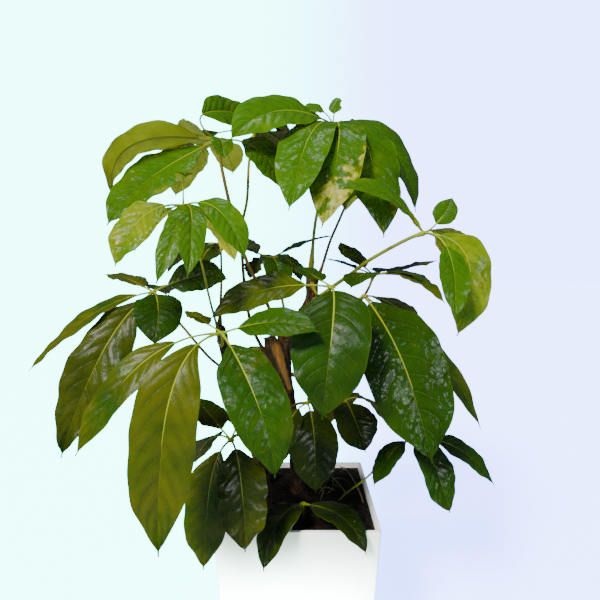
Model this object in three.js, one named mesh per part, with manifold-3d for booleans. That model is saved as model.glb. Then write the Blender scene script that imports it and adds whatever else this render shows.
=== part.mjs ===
// A potted umbrella plant: compound leaves in whorls on long stalks, two woody canes, black soil
// and a white tapered square pot. Millimetres, +Z up, origin at the middle of the pot's underside.
import * as THREE from "three";
import { mergeVertices } from "three/addons/utils/BufferGeometryUtils.js";
import Module from "manifold-3d";

const wasm = await Module();
wasm.setup();

// Pot
const POT_TOP = 200;
const POT_HEIGHT = 200;
const POT_TAPER = 15; // each side leans out by this much from the foot to the rim
const POT_WALL = 4.5;
const POT_FLOOR = 8;
const POT_CORNER = 3;
const HOLLOW_CORNER = 2; // rounding of the upright edges inside
const POT_BEVEL = 1; // rounding of the rim and the foot
const CORNER_STEPS = 3;

// Soil
const SOIL_LEVEL = 197;
const SOIL_MOUND = 3; // how much higher the soil stands round the canes than at the wall
const MOUND_RINGS = [0.75, 0.45, 0.15]; // shares of the way in from the wall
const GAP = 0.3; // clearance between pieces that touch

// Canes
const CANE_SIDES = 9;
const CANE_STEPS = 22;
const CANE_KNOTS = 7; // old leaf rings along each cane
const KNOT_SWELL = 0.05;

// Leaves
const BLADE_THICK = 0.8;
const STALK_THICK = 2.6;
const STALK_LENGTH = 20; // petiolule of an ordinary leaflet
const HUB_RADIUS = 4.5;
const PETIOLE_RADIUS = 2.5;
const BROAD_BLADE = 60; // blades wider than this have a curved cross-section too
const SMALL_BLADE = 31;
const BLADE_ROWS = {
  broad: [0.03, 0.14, 0.32, 0.52, 0.72, 0.9, 1],
  plain: [0.03, 0.19, 0.43, 0.68, 0.89, 1],
  small: [0.04, 0.3, 0.65, 0.9, 1],
};
const NARROWEST = 1.4; // width of a blade at its very tip
const FOLD = 14; // degrees that each half of a blade lifts from flat
const DROOP = 0.18; // how much of that lift the outer edge loses again
const DRAWN_BASE = [0, 0.22]; // shares of a blade's length between which its base widens
const DRAWN_TIP = [0.72, 0.97]; // shares of a blade's length between which its tip narrows

const UP = new THREE.Vector3(0, 0, 1);

// Each material's colour and roughness
const COLOURS = {
  pot: [0xf1f0ea, 0.35],
  soil: [0x17120e, 0.95],
  bark: [0x6b4a2b, 0.8],
  young: [0x6f9c22, 0.35],
  mature: [0x2f5c1c, 0.35],
  green_stalk: [0x93a03a, 0.5],
  brown_stalk: [0x7c5326, 0.5],
  straw: [0xb59a63, 0.8],
};

// Canes: the points that each one's middle passes through, and its radii at the foot and the top
const CANES = {
  trunk: {
    points: [
      [0, 6, 70],
      [0, 12, 197],
      [-3, 24, 262],
      [-17, 28, 355],
      [-16, 27, 400],
      [4, 25, 438],
      [19, 24, 466],
      [19, 22, 508],
    ],
    foot: 11.5,
    top: 8.5,
  },
  second_cane: {
    points: [
      [-44, 36, 80],
      [-46, 36, 185],
      [-64, 31, 260],
      [-90, 18, 350],
      [-107, 10, 432],
    ],
    foot: 9,
    top: 7.5,
  },
};

// Compound leaves. hub is where the leaflets meet, petiole is the long stalk's way to it, and
// each leaflet runs from the hub to its tip. rise is how far its arch climbs first (or sinks, if
// negative), reach the share of the way out at which it turns down, roll how far it leans over.
const FRONDS = [
  {
    name: "top_leaf",
    tone: "young",
    stalk: "green_stalk",
    hub: [47, 0, 696],
    petiole: [[18, 22, 500], [25, 12, 575], [43, 3, 650]],
    leaflets: [
      { tip: [-76, -85, 655], width: 60, rise: 28, roll: 48 },
      { tip: [-9, -110, 573], width: 62, rise: 5, roll: 10 },
      { tip: [28, -95, 555], width: 64, rise: 0, reach: 0.8, bow: -30 },
      { tip: [102, -75, 545], width: 72, rise: 12, reach: 0.8, roll: -12, bow: 2 },
      { tip: [9, -15, 709], width: 24, rise: 28, reach: 0.4, roll: 45 },
      { tip: [58, -5, 725], width: 20, rise: 30, reach: 0, roll: -80, stalk: 14 },
      { tip: [134, 30, 680], width: 42, rise: 14, roll: -30 },
      { tip: [158, 5, 584], width: 66, rise: 15, reach: 0.8, roll: -42 },
      { tip: [-15, 100, 655], width: 50, rise: 20 },
      { tip: [30, 120, 660], width: 50, rise: 15 },
    ],
  },
  {
    name: "upper_left_leaf",
    tone: "young",
    stalk: "brown_stalk",
    hub: [-96, -60, 660],
    petiole: [[-16, 27, 392], [-43, 8, 465], [-69, -10, 525], [-85, -35, 592]],
    leaflets: [
      { tip: [-210, -90, 590], width: 50, rise: 16, reach: 1.1, roll: -25 },
      { tip: [-201, -130, 555], width: 66, rise: -45, reach: 0.7, roll: 35, bow: 12 },
      { tip: [-156, -20, 601], width: 58, rise: 5, reach: 0.6 },
      { tip: [-82, -90, 633], width: 26, rise: 8, reach: 0.7, stalk: 8 },
      { tip: [-152, 0, 678], width: 48, rise: 24, roll: -35 },
      { tip: [-50, -5, 706], width: 44, rise: 32, reach: -1, roll: -60, stalk: 40 },
      { tip: [-17, -60, 603], width: 48, rise: 12, reach: 0.7, roll: -50, stalk: 30 },
      { tip: [-90, 40, 640], width: 42, rise: 15 },
    ],
  },
  {
    name: "upper_back_leaf",
    tone: "mature",
    stalk: "brown_stalk",
    hub: [-60, 50, 703],
    petiole: [
      [-16, 28, 345],
      [-49, 28, 395],
      [-67, 30, 436],
      [-78, 35, 563],
      [-71, 40, 604],
      [-68, 45, 659],
    ],
    leaflets: [
      { tip: [-10, 60, 695], width: 40, rise: 20 },
      { tip: [3, 120, 654], width: 50, rise: 12 },
      { tip: [-190, 60, 668], width: 44, rise: 5, stalk: 52 },
      { tip: [-10, 170, 680], width: 50, rise: 10 },
      { tip: [-40, 150, 665], width: 50, rise: 10 },
    ],
  },
  {
    name: "upper_right_leaf",
    tone: "young",
    stalk: "brown_stalk",
    hub: [96, 50, 662],
    petiole: [[19, 22, 478], [32, 25, 505], [45, 30, 545], [58, 35, 575]],
    leaflets: [
      { tip: [150, 110, 650], width: 42, rise: 15 },
      { tip: [160, 60, 640], width: 42, rise: 15 },
      { tip: [130, 150, 612], width: 48, rise: 10 },
      { tip: [78, 150, 600], width: 48, rise: 5 },
      { tip: [62, 5, 590], width: 44, rise: 5 },
    ],
  },
  {
    name: "left_young_leaf",
    tone: "young",
    stalk: "green_stalk",
    hub: [-122, -120, 577],
    petiole: [[-107, 10, 418], [-106, -10, 430], [-108, -50, 470], [-112, -95, 530]],
    leaflets: [
      { tip: [-182, -160, 512], width: 46, rise: 5, reach: 0.7, roll: 35 },
      { tip: [-132, -190, 496], width: 26, rise: 5, reach: 0.7, bow: -24 },
      { tip: [-100, -200, 502], width: 28, rise: 5, reach: 0.7, bow: -13 },
      { tip: [-52, -160, 520], width: 34, rise: 14, reach: 0.7, roll: -35 },
      { tip: [-114, -142, 604], width: 18, rise: 44, reach: 0.1, stalk: 24 },
      { tip: [-200, -50, 530], width: 26, rise: 5 },
      { tip: [-75, -60, 517], width: 40, rise: 5 },
    ],
  },
  {
    name: "right_young_leaf",
    tone: "young",
    stalk: "green_stalk",
    hub: [150, -70, 551],
    petiole: [[18, 24, 458], [45, -5, 483], [70, -28, 503], [88, -40, 518], [136, -65, 546]],
    leaflets: [
      { tip: [50, -112, 596], width: 30, rise: 65, reach: 0.5, roll: 50 },
      { tip: [127, -75, 581], width: 14, rise: 15, stalk: 5 },
      { tip: [186, -60, 594], width: 28, rise: 10, roll: -60 },
      { tip: [184, -95, 432], width: 54, rise: -6, reach: 2, roll: -40 },
      { tip: [164, -150, 460], width: 34, reach: 0.7, bow: -14, stalk: 48 },
      { tip: [220, 0, 520], width: 40, rise: 20 },
      { tip: [222, -25, 472], width: 38, rise: 0 },
    ],
  },
  {
    name: "right_flat_leaf",
    tone: "mature",
    stalk: "brown_stalk",
    hub: [99, -20, 500],
    petiole: [[-4, 25, 417], [60, 0, 440], [90, -15, 477]],
    leaflets: [
      { tip: [196, 30, 520], width: 36, rise: 12 },
      { tip: [167, -70, 482], width: 40, rise: 15 },
      { tip: [168, -100, 470], width: 36, rise: 12 },
      { tip: [62, -90, 487], width: 38, rise: 10 },
      { tip: [60, 40, 546], width: 36, rise: 25 },
      { tip: [38, 5, 522], width: 30, rise: 18 },
      { tip: [150, 85, 500], width: 42, rise: 15 },
    ],
  },
  {
    name: "middle_leaf",
    tone: "mature",
    stalk: "green_stalk",
    hub: [39, -110, 489],
    petiole: [[19, 22, 490], [24, -5, 478], [30, -65, 472]],
    leaflets: [
      { tip: [25, -190, 365], width: 78, reach: 0.8, bow: -14 },
      { tip: [-93, -130, 456], width: 46, rise: 12, roll: 40, stalk: 30 },
      { tip: [0, -50, 512], width: 34, rise: 15 },
    ],
  },
  {
    name: "right_big_leaf",
    tone: "mature",
    stalk: "brown_stalk",
    hub: [77, -95, 478],
    petiole: [[4, 25, 440], [35, -10, 445], [62, -60, 462]],
    leaflets: [
      { tip: [143, -150, 305], width: 92, rise: -60, reach: 0.7, roll: -42, stalk: 10 },
      { tip: [228, -60, 311], width: 36, rise: -74, reach: 0.74, roll: -55 },
      { tip: [50, -90, 362], width: 50, rise: -5, reach: 0.9 },
      { tip: [150, -30, 430], width: 45, rise: 0 },
    ],
  },
  {
    name: "front_left_leaf",
    tone: "mature",
    stalk: "green_stalk",
    hub: [-77, -150, 443],
    petiole: [[-104, 12, 405], [-98, -40, 412], [-84, -105, 424]],
    leaflets: [
      { tip: [-128, -215, 243], width: 63, rise: 5, reach: 1.05, roll: 36, stalk: 34 },
      { tip: [-19, -220, 321], width: 57, rise: -45, reach: 1, roll: -30, bow: 10 },
      { tip: [-214, -190, 329], width: 40, rise: 5, roll: 42, stalk: 48 },
      { tip: [21, -190, 450], width: 38, rise: 25, roll: -40 },
      { tip: [-122, -120, 464], width: 24, rise: 15 },
    ],
  },
  {
    name: "left_dark_leaf",
    tone: "mature",
    stalk: "brown_stalk",
    hub: [-178, -50, 480],
    petiole: [[-12, 28, 318], [-50, 15, 340], [-85, -2, 365], [-112, -12, 386], [-149, -22, 433]],
    leaflets: [
      { tip: [-325, -70, 385], width: 42, rise: -8, reach: 0.5, roll: 25 },
      { tip: [-269, -110, 294], width: 64, rise: -40, reach: 0.6, roll: 50 },
      { tip: [-160, -110, 424], width: 54, rise: 0, reach: 0.9, bow: -10 },
      { tip: [-256, 10, 501], width: 45, rise: 20 },
      { tip: [-87, -40, 495], width: 48, rise: 30, roll: -50 },
      { tip: [-190, 50, 470], width: 45, rise: 15 },
    ],
  },
  {
    name: "middle_back_leaf",
    tone: "mature",
    stalk: "brown_stalk",
    hub: [-38, 40, 523],
    petiole: [[-13, 27, 405], [-21, 34, 461]],
    leaflets: [
      { tip: [-64, 12, 494], width: 35, rise: 5, reach: 0.8, stalk: 12 },
      { tip: [-22, -14, 478], width: 40, rise: 5, reach: 0.8, stalk: 12 },
      { tip: [5, 18, 490], width: 44, rise: 8, reach: 0.8, stalk: 12 },
      { tip: [52, 90, 557], width: 40, rise: 30 },
      { tip: [-137, 88, 541], width: 38, rise: 26 },
      { tip: [-30, 140, 500], width: 48, rise: 15 },
    ],
  },
  {
    name: "low_left_leaf",
    tone: "mature",
    stalk: "brown_stalk",
    hub: [-75, -110, 315],
    petiole: [[-68, 29, 275], [-74, -20, 290], [-76, -70, 305]],
    leaflets: [
      { tip: [-100, -150, 187], width: 50, reach: 0.9, roll: 25 },
      { tip: [-54, -160, 213], width: 54, rise: 5, reach: 0.9 },
      { tip: [-125, -60, 350], width: 42, rise: 20 },
      { tip: [-60, -50, 345], width: 42, rise: 20 },
      { tip: [-127, -64, 268], width: 42, rise: 10 },
    ],
  },
  {
    name: "low_middle_leaf",
    tone: "mature",
    stalk: "brown_stalk",
    hub: [13, -25, 333],
    petiole: [[-9, 28, 312], [2, 0, 325]],
    leaflets: [
      { tip: [23, -80, 238], width: 58, rise: 0, reach: 0.9 },
      { tip: [-20, -70, 270], width: 40, rise: 0, reach: 0.9 },
      { tip: [45, 40, 280], width: 42, rise: 10 },
    ],
  },
  {
    name: "low_shade_leaf",
    tone: "mature",
    stalk: "brown_stalk",
    hub: [63, -20, 335],
    petiole: [[-17, 28, 362], [30, 0, 350]],
    leaflets: [
      { tip: [85, -60, 281], width: 60, reach: 0.8, bow: 12, stalk: 8 },
      { tip: [128, 20, 288], width: 38, rise: 10 },
      { tip: [70, 60, 300], width: 42, rise: 10 },
    ],
  },
  {
    name: "low_right_leaf",
    tone: "mature",
    stalk: "green_stalk",
    hub: [150, -60, 299],
    petiole: [[53, -12, 110], [54, -14, 190], [92, -25, 232], [130, -40, 281]],
    leaflets: [
      { tip: [247, -60, 238], width: 32, roll: -35 },
      { tip: [176, -110, 229], width: 46, rise: 5, reach: 0.9, bow: 22, stalk: 10 },
      { tip: [91, -90, 252], width: 36, rise: 5 },
      { tip: [185, 30, 330], width: 42, rise: 30 },
      { tip: [180, 40, 270], width: 45, rise: 15 },
    ],
  },
  {
    name: "back_left_leaf",
    tone: "mature",
    stalk: "brown_stalk",
    hub: [-120, 110, 545],
    petiole: [[-107, 10, 424], [-110, 40, 455], [-114, 75, 495]],
    leaflets: [
      { tip: [-210, 130, 500], width: 50, rise: 10 },
      { tip: [-160, 190, 515], width: 52, rise: 15 },
      { tip: [-70, 185, 530], width: 48, rise: 20 },
      { tip: [-150, 60, 478], width: 44, rise: 0, reach: 0.8 },
      { tip: [-200, 90, 462], width: 46, rise: 0 },
    ],
  },
  {
    name: "back_right_leaf",
    tone: "mature",
    stalk: "brown_stalk",
    hub: [100, 120, 440],
    petiole: [[6, 25, 434], [30, 60, 428], [70, 95, 428]],
    leaflets: [
      { tip: [190, 150, 400], width: 50, rise: 15 },
      { tip: [150, 210, 372], width: 54, rise: 10 },
      { tip: [70, 205, 380], width: 52, rise: 10 },
      { tip: [20, 165, 395], width: 48, rise: 15 },
      { tip: [165, 75, 360], width: 46, rise: 0 },
    ],
  },
  {
    name: "back_low_leaf",
    tone: "mature",
    stalk: "brown_stalk",
    hub: [-60, 110, 380],
    petiole: [[-17, 28, 350], [-25, 55, 352], [-45, 90, 368]],
    leaflets: [
      { tip: [-120, 150, 310], width: 50, rise: 5 },
      { tip: [-60, 200, 310], width: 54, rise: 10 },
      { tip: [15, 175, 320], width: 50, rise: 10 },
      { tip: [-110, 80, 295], width: 44, rise: 0 },
      { tip: [-20, 110, 280], width: 46, rise: 0, reach: 0.9 },
    ],
  },
  {
    name: "seedling",
    tone: "mature",
    stalk: "green_stalk",
    hub: [8, -60, 214],
    petiole: [[8, -58, 140], [8, -59, 190]],
    leaflets: [
      { tip: [-38, -125, 169], width: 42, rise: 25, reach: 0.8, stalk: 10 },
      { tip: [79, -120, 185], width: 42, rise: 20, reach: 0.8, stalk: 10 },
    ],
  },
];

// Broken stubs of old dry stalks, from their feet in the soil to their tops
const DRY_STUBS = [
  [[66, 6, 176], [65, 9, 197], [42, 50, 206]],
  [[88, -19, 176], [88, -17, 196], [77, 13, 214], [68, 58, 212]],
  [[80, 58, 176], [79, 60, 197], [64, 82, 203]],
];
const STUB_RADIUS = 1.1;

// A strip of bark that has peeled off the trunk: its foot is in the trunk, its top stands away
const BARK_FLAP = { foot: [-12, 22, 338], tip: [-39, 10, 416], width: 24, rise: 45, roll: 70 };

/** A solid for joining and cutting from a closed three.js geometry. */
function toSolid(geometry) {
  const bare = geometry.index ? geometry.toNonIndexed() : geometry.clone();
  bare.deleteAttribute("normal");
  bare.deleteAttribute("uv");
  const merged = mergeVertices(bare, 1e-4);
  return new wasm.Manifold(
    new wasm.Mesh({
      numProp: 3,
      vertProperties: merged.attributes.position.array,
      triVerts: new Uint32Array(merged.index.array),
    }),
  );
}

/** A three.js geometry from a solid. */
function toGeometry(solid) {
  const mesh = solid.getMesh();
  const geometry = new THREE.BufferGeometry();
  geometry.setAttribute("position", new THREE.BufferAttribute(mesh.vertProperties, 3));
  geometry.setIndex(new THREE.BufferAttribute(mesh.triVerts, 1));
  const flat = geometry.toNonIndexed();
  flat.computeVertexNormals();
  return flat;
}

/** A closed surface through rings of points: each ring joins the next, and both ends are capped. */
function loft(rings) {
  const around = rings[0].length;
  const positions = rings.flat().flatMap((point) => [point.x, point.y, point.z]);
  const index = [];
  for (let row = 0; row + 1 < rings.length; row++) {
    for (let side = 0; side < around; side++) {
      const a = row * around + side;
      const b = row * around + ((side + 1) % around);
      index.push(a, b, b + around, a, b + around, a + around);
    }
  }
  const last = (rings.length - 1) * around;
  for (let side = 1; side + 1 < around; side++) {
    index.push(0, side + 1, side);
    index.push(last, last + side, last + side + 1);
  }
  const geometry = new THREE.BufferGeometry();
  geometry.setAttribute("position", new THREE.Float32BufferAttribute(positions, 3));
  geometry.setIndex(index);
  return geometry;
}

/** A round rod along a curve; radiusAt gives its radius at each share of the length. */
function rod(curve, radiusAt, sides, steps) {
  const frames = curve.computeFrenetFrames(steps, false);
  const rings = [];
  for (let step = 0; step <= steps; step++) {
    const share = step / steps;
    const middle = curve.getPointAt(share);
    const ring = [];
    for (let side = 0; side < sides; side++) {
      const angle = (side / sides) * 2 * Math.PI;
      const out = frames.normals[step].clone().multiplyScalar(Math.cos(angle));
      out.addScaledVector(frames.binormals[step], Math.sin(angle));
      ring.push(middle.clone().addScaledVector(out, radiusAt(share)));
    }
    rings.push(ring);
  }
  return loft(rings);
}

function curveThrough(points) {
  return new THREE.CatmullRomCurve3(points.map((point) => new THREE.Vector3(...point)));
}

/** A square with rounded corners, as a ring of points at height z. */
function roundedSquare(side, corner, z) {
  const ring = [];
  const middle = side / 2 - corner;
  for (let quarter = 0; quarter < 4; quarter++) {
    const turn = (quarter * Math.PI) / 2;
    const centre = new THREE.Vector3(middle, middle, z).applyAxisAngle(UP, turn);
    for (let step = 0; step <= CORNER_STEPS; step++) {
      const angle = turn + (step / CORNER_STEPS) * (Math.PI / 2);
      const out = new THREE.Vector3(Math.cos(angle), Math.sin(angle), 0);
      ring.push(centre.clone().addScaledVector(out, corner));
    }
  }
  return ring;
}

/** The pot's side length at height z, less an inset all round. */
function potSide(z, inset) {
  return POT_TOP - 2 * POT_TAPER * (1 - z / POT_HEIGHT) - 2 * inset;
}

/** The pot: a tapered shell with a flat floor, open at the top. */
function makePot() {
  const outside = loft([
    roundedSquare(potSide(0, POT_BEVEL), POT_CORNER - POT_BEVEL, 0),
    roundedSquare(potSide(POT_BEVEL, 0), POT_CORNER, POT_BEVEL),
    roundedSquare(potSide(POT_HEIGHT - POT_BEVEL, 0), POT_CORNER, POT_HEIGHT - POT_BEVEL),
    roundedSquare(potSide(POT_HEIGHT, POT_BEVEL), POT_CORNER - POT_BEVEL, POT_HEIGHT),
  ]);
  const above = POT_HEIGHT + POT_WALL;
  const inside = loft([
    roundedSquare(potSide(POT_FLOOR, POT_WALL), HOLLOW_CORNER, POT_FLOOR),
    roundedSquare(potSide(above, POT_WALL), HOLLOW_CORNER, above),
  ]);
  return toSolid(outside).subtract(toSolid(inside));
}

/** The soil fills the pot, with a low mound round the canes and a plain hole for each stem. */
function makeSoil(stems) {
  const foot = POT_FLOOR + GAP;
  const inset = POT_WALL + GAP;
  const corner = HOLLOW_CORNER - GAP;
  const rings = [
    roundedSquare(potSide(foot, inset), corner, foot),
    roundedSquare(potSide(SOIL_LEVEL - SOIL_MOUND, inset), corner, SOIL_LEVEL - SOIL_MOUND),
  ];
  for (const share of MOUND_RINGS) {
    const z = SOIL_LEVEL - SOIL_MOUND * share * share;
    rings.push(roundedSquare(potSide(z, inset) * share, corner * share, z));
  }
  return stems.reduce((soil, stem) => soil.subtract(stem), toSolid(loft(rings)));
}

/** A cane, thicker where old leaves have left their rings; grow adds clearance all round. */
function makeCane(cane, grow) {
  const radiusAt = (share) => {
    const plain = THREE.MathUtils.lerp(cane.foot, cane.top, share);
    const swell = KNOT_SWELL * Math.sin(share * CANE_KNOTS * 2 * Math.PI);
    return plain * (1 + swell) + grow;
  };
  return toSolid(rod(curveThrough(cane.points), radiusAt, CANE_SIDES, CANE_STEPS));
}

/** Half-width of a blade, as a share of its widest, at a share of its length from the base. */
function bladeShape(share) {
  const oval = Math.sqrt(4 * share * (1 - share));
  const lowBelly = 1.06 - 0.14 * share;
  const drawnBase = 0.55 + 0.45 * THREE.MathUtils.smoothstep(share, ...DRAWN_BASE);
  const drawnTip = 1 - 0.4 * THREE.MathUtils.smoothstep(share, ...DRAWN_TIP);
  return oval * lowBelly * drawnBase * drawnTip;
}

/** How finely a blade of this width is modelled: its columns across and its rows along. */
function bladeGrid(width) {
  if (width > BROAD_BLADE) {
    return { columns: [-1, -0.55, 0, 0.55, 1], bladeRows: BLADE_ROWS.broad };
  }
  const bladeRows = width > SMALL_BLADE ? BLADE_ROWS.plain : BLADE_ROWS.small;
  return { columns: [-1, 0, 1], bladeRows };
}

/** One leaflet: its stalk opens into a folded blade, along an arched midrib from hub to tip. */
function makeLeaflet(hub, leaflet) {
  const { width, rise = 0, reach = 0.6, roll = 0, bow = 0, stalk = STALK_LENGTH } = leaflet;
  const start = new THREE.Vector3(...hub);
  const tip = new THREE.Vector3(...leaflet.tip);
  const away = tip.clone().sub(start).setZ(0).normalize();
  const level = new THREE.Vector3(away.y, -away.x, 0);
  const turn = start.clone().lerp(tip, reach).setZ(start.z + rise).addScaledVector(level, bow);
  const midrib = new THREE.QuadraticBezierCurve3(start, turn, tip);
  const stalkShare = stalk / midrib.getLength();
  const { columns, bladeRows } = bladeGrid(width);
  const rows = [0, ...bladeRows.map((share) => stalkShare + (1 - stalkShare) * share)];
  const lean = THREE.MathUtils.degToRad(roll);
  const lift = Math.sin(THREE.MathUtils.degToRad(FOLD));

  const rings = rows.map((along, row) => {
    const middle = midrib.getPointAt(along);
    const forward = midrib.getTangentAt(along);
    const flatUp = new THREE.Vector3().crossVectors(level, forward).normalize();
    const across = new THREE.Vector3().crossVectors(forward, flatUp).applyAxisAngle(forward, -lean);
    const face = flatUp.applyAxisAngle(forward, -lean);
    const isStalk = row < 2;
    const wide = isStalk ? STALK_THICK : Math.max(bladeShape(bladeRows[row - 1]) * width, NARROWEST);
    const thick = isStalk ? STALK_THICK : BLADE_THICK;
    const section = columns.map((column) => {
      const out = (column * wide) / 2;
      const height = isStalk ? 0 : Math.abs(out) * (lift - DROOP * Math.abs(column));
      return middle.clone().addScaledVector(across, out).addScaledVector(face, height);
    });
    const above = section.map((point) => point.clone().addScaledVector(face, thick / 2));
    const below = section.map((point) => point.clone().addScaledVector(face, -thick / 2));
    return [...above, ...below.reverse()];
  });
  return toSolid(loft(rings));
}

/** The leaflets of one compound leaf, joined at its hub. */
function makeWhorl(frond) {
  const knob = new THREE.IcosahedronGeometry(HUB_RADIUS, 0).translate(...frond.hub);
  return frond.leaflets.reduce(
    (whorl, leaflet) => whorl.add(makeLeaflet(frond.hub, leaflet)),
    toSolid(knob),
  );
}

/** A petiole: from inside its cane, or from the soil, to just under its hub. */
function makePetiole(frond, grow) {
  const hub = new THREE.Vector3(...frond.hub);
  const before = new THREE.Vector3(...frond.petiole.at(-1));
  const end = before.lerp(hub, 1 - HUB_RADIUS / before.distanceTo(hub));
  const curve = curveThrough([...frond.petiole, end.toArray()]);
  return toSolid(rod(curve, () => PETIOLE_RADIUS + grow, 6, 2 * frond.petiole.length + 1));
}

function makeDryStub(points, grow) {
  return toSolid(rod(curveThrough(points), () => STUB_RADIUS + grow, 5, 2 * points.length));
}

function pieceMesh(name, solid, colour) {
  const [color, roughness] = COLOURS[colour];
  const material = new THREE.MeshStandardMaterial({ color, roughness, metalness: 0 });
  const mesh = new THREE.Mesh(toGeometry(solid), material);
  mesh.name = name;
  return mesh;
}

const plant = new THREE.Group();
plant.name = "potted_umbrella_plant";

const rooted = FRONDS.filter((frond) => frond.petiole[0][2] < SOIL_LEVEL);
const grownCanes = Object.values(CANES).map((cane) => makeCane(cane, GAP));
const grownShoots = rooted.map((frond) => makePetiole(frond, GAP));
const grownStubs = DRY_STUBS.map((points) => makeDryStub(points, GAP));
const flap = makeLeaflet(BARK_FLAP.foot, { ...BARK_FLAP, stalk: 0.1 });

plant.add(pieceMesh("pot", makePot(), "pot"));
plant.add(pieceMesh("soil", makeSoil([...grownCanes, ...grownShoots, ...grownStubs]), "soil"));
plant.add(pieceMesh("trunk", makeCane(CANES.trunk, 0).add(flap), "bark"));
plant.add(pieceMesh("second_cane", makeCane(CANES.second_cane, 0), "bark"));
DRY_STUBS.forEach((points, index) => {
  plant.add(pieceMesh(`dry_stub_${index + 1}`, makeDryStub(points, 0), "straw"));
});
for (const frond of FRONDS) {
  const whorl = makeWhorl(frond);
  const petiole = grownCanes.reduce(
    (stalk, cane) => stalk.subtract(cane),
    makePetiole(frond, 0),
  );
  plant.add(pieceMesh(`${frond.name}_leaflets`, whorl, frond.tone));
  plant.add(pieceMesh(`${frond.name}_petiole`, petiole, frond.stalk));
}

export default plant;
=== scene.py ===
"""A potted umbrella plant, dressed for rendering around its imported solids.

Every compound leaf becomes two pieces: its blades, folded, veined and waved along the same arched
midribs as the solids, and its stalks. The canes, the soil, the dry straws and the pot each
replace their solid with a finer one. Lengths in the tables are millimetres, as in the part's
source, and MM turns them into metres. +Z is up, and the camera looks along +Y.
"""

import logging
import math
import random
from collections.abc import Callable
from dataclasses import dataclass
from enum import Enum
from functools import cache
from typing import ClassVar

import bpy
import numpy as np
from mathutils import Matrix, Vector, noise


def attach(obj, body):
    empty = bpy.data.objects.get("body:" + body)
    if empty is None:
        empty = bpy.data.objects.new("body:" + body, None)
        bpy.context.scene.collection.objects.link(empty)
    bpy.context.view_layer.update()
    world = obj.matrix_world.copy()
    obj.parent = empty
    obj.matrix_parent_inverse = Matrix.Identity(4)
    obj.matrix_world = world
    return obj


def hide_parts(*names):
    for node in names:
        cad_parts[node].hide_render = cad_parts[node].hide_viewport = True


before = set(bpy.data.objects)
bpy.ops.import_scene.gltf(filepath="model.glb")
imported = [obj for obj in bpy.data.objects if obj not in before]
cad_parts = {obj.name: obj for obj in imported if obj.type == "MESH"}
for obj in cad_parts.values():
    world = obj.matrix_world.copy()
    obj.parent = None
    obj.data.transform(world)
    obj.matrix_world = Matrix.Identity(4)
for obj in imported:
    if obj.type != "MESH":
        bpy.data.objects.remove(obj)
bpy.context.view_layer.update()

BODY = "root"
MM = 0.001
Point = tuple[float, float, float]
Socket = bpy.types.NodeSocket
log = logging.getLogger("umbrella_plant")

# Cells of the fine network of veins in a metre.
NET_SCALE = 330.0

# Samples between two points of a stalk's curve, and along the whole of a midrib's arch.
STRETCH_STEPS = 24
ARCH_STEPS = 96

# Veins of a blade, shared by its relief and its colours. A vein leaves the midrib at an angle and
# arches towards the tip: at a share a of the way out it has climbed SLANT a + ARCH a a.
VEIN_PAIRS = 9
VEIN_SLANT = 0.11
VEIN_ARCH = 0.12

# The room is mint-white on the left and lilac on the right, and plain in between where the camera
# doesn't look. Each change is given by level directions from the camera's place: sideways over
# away for the one, away alone for the other.
ROOM_CHANGE = (-0.12, 0.2)
ROOM_VIEW = (0.1, 0.7)
ROOM_NARROWEST = 0.2


class LeafTone(Enum):
    """The two ages of leaf, named by their material slots."""

    YOUNG = "young_leaf"
    MATURE = "mature_leaf"


class StalkTone(Enum):
    """The two colours of stalk, named by their material slots."""

    GREEN = "green_stalk"
    BROWN = "brown_stalk"


class Detail(Enum):
    """How finely a blade is modelled: faces across and along."""

    BROAD = (24, 64)
    NARROW = (16, 44)


def deselect() -> None:
    """Leaves edit mode and deselects every object."""
    if bpy.context.object and bpy.context.object.mode != "OBJECT":
        bpy.ops.object.mode_set(mode="OBJECT")
    bpy.ops.object.select_all(action="DESELECT")


def activate(piece: bpy.types.Object) -> None:
    """Makes a piece the only selected and the active one."""
    deselect()
    piece.select_set(True)
    bpy.context.view_layer.objects.active = piece


def unit(vectors: np.ndarray) -> np.ndarray:
    """Rows of vectors, each scaled to length one."""
    return vectors / np.linalg.norm(vectors, axis=-1, keepdims=True)


def smoothstep(low: float, high: float, values: np.ndarray) -> np.ndarray:
    """A smooth climb from 0 at low to 1 at high."""
    share = np.clip((values - low) / (high - low), 0, 1)
    return share * share * (3 - 2 * share)


def corners(piece: bpy.types.Object) -> np.ndarray:
    """The places of a mesh's vertices, one row each."""
    places = np.empty(len(piece.data.vertices) * 3)
    piece.data.vertices.foreach_get("co", places)
    return places.reshape(-1, 3)


def move_corners(piece: bpy.types.Object, places: np.ndarray) -> None:
    """Puts a mesh's vertices at new places."""
    piece.data.vertices.foreach_set("co", places.ravel())
    piece.data.update()


def write_attribute(piece: bpy.types.Object, name: str, values: np.ndarray) -> None:
    """Stores a value, or a row of three, on every vertex for the materials to read."""
    is_vector = values.ndim == 2
    attribute = piece.data.attributes.new(name, "FLOAT_VECTOR" if is_vector else "FLOAT", "POINT")
    attribute.data.foreach_set("vector" if is_vector else "value", values.ravel())


def edit_selected(piece: bpy.types.Object, kind: str, wanted: Callable) -> None:
    """Opens a piece in edit mode with only some of its edges or faces selected.

    Args:
        piece: The mesh to edit.
        kind: "EDGE" or "FACE".
        wanted: Says whether an edge or a face is selected.
    """
    activate(piece)
    bpy.ops.object.mode_set(mode="EDIT")
    bpy.ops.mesh.select_mode(type=kind)
    bpy.ops.mesh.select_all(action="DESELECT")
    bpy.ops.object.mode_set(mode="OBJECT")
    for part in piece.data.edges if kind == "EDGE" else piece.data.polygons:
        part.select = wanted(part)
    bpy.ops.object.mode_set(mode="EDIT")


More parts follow.
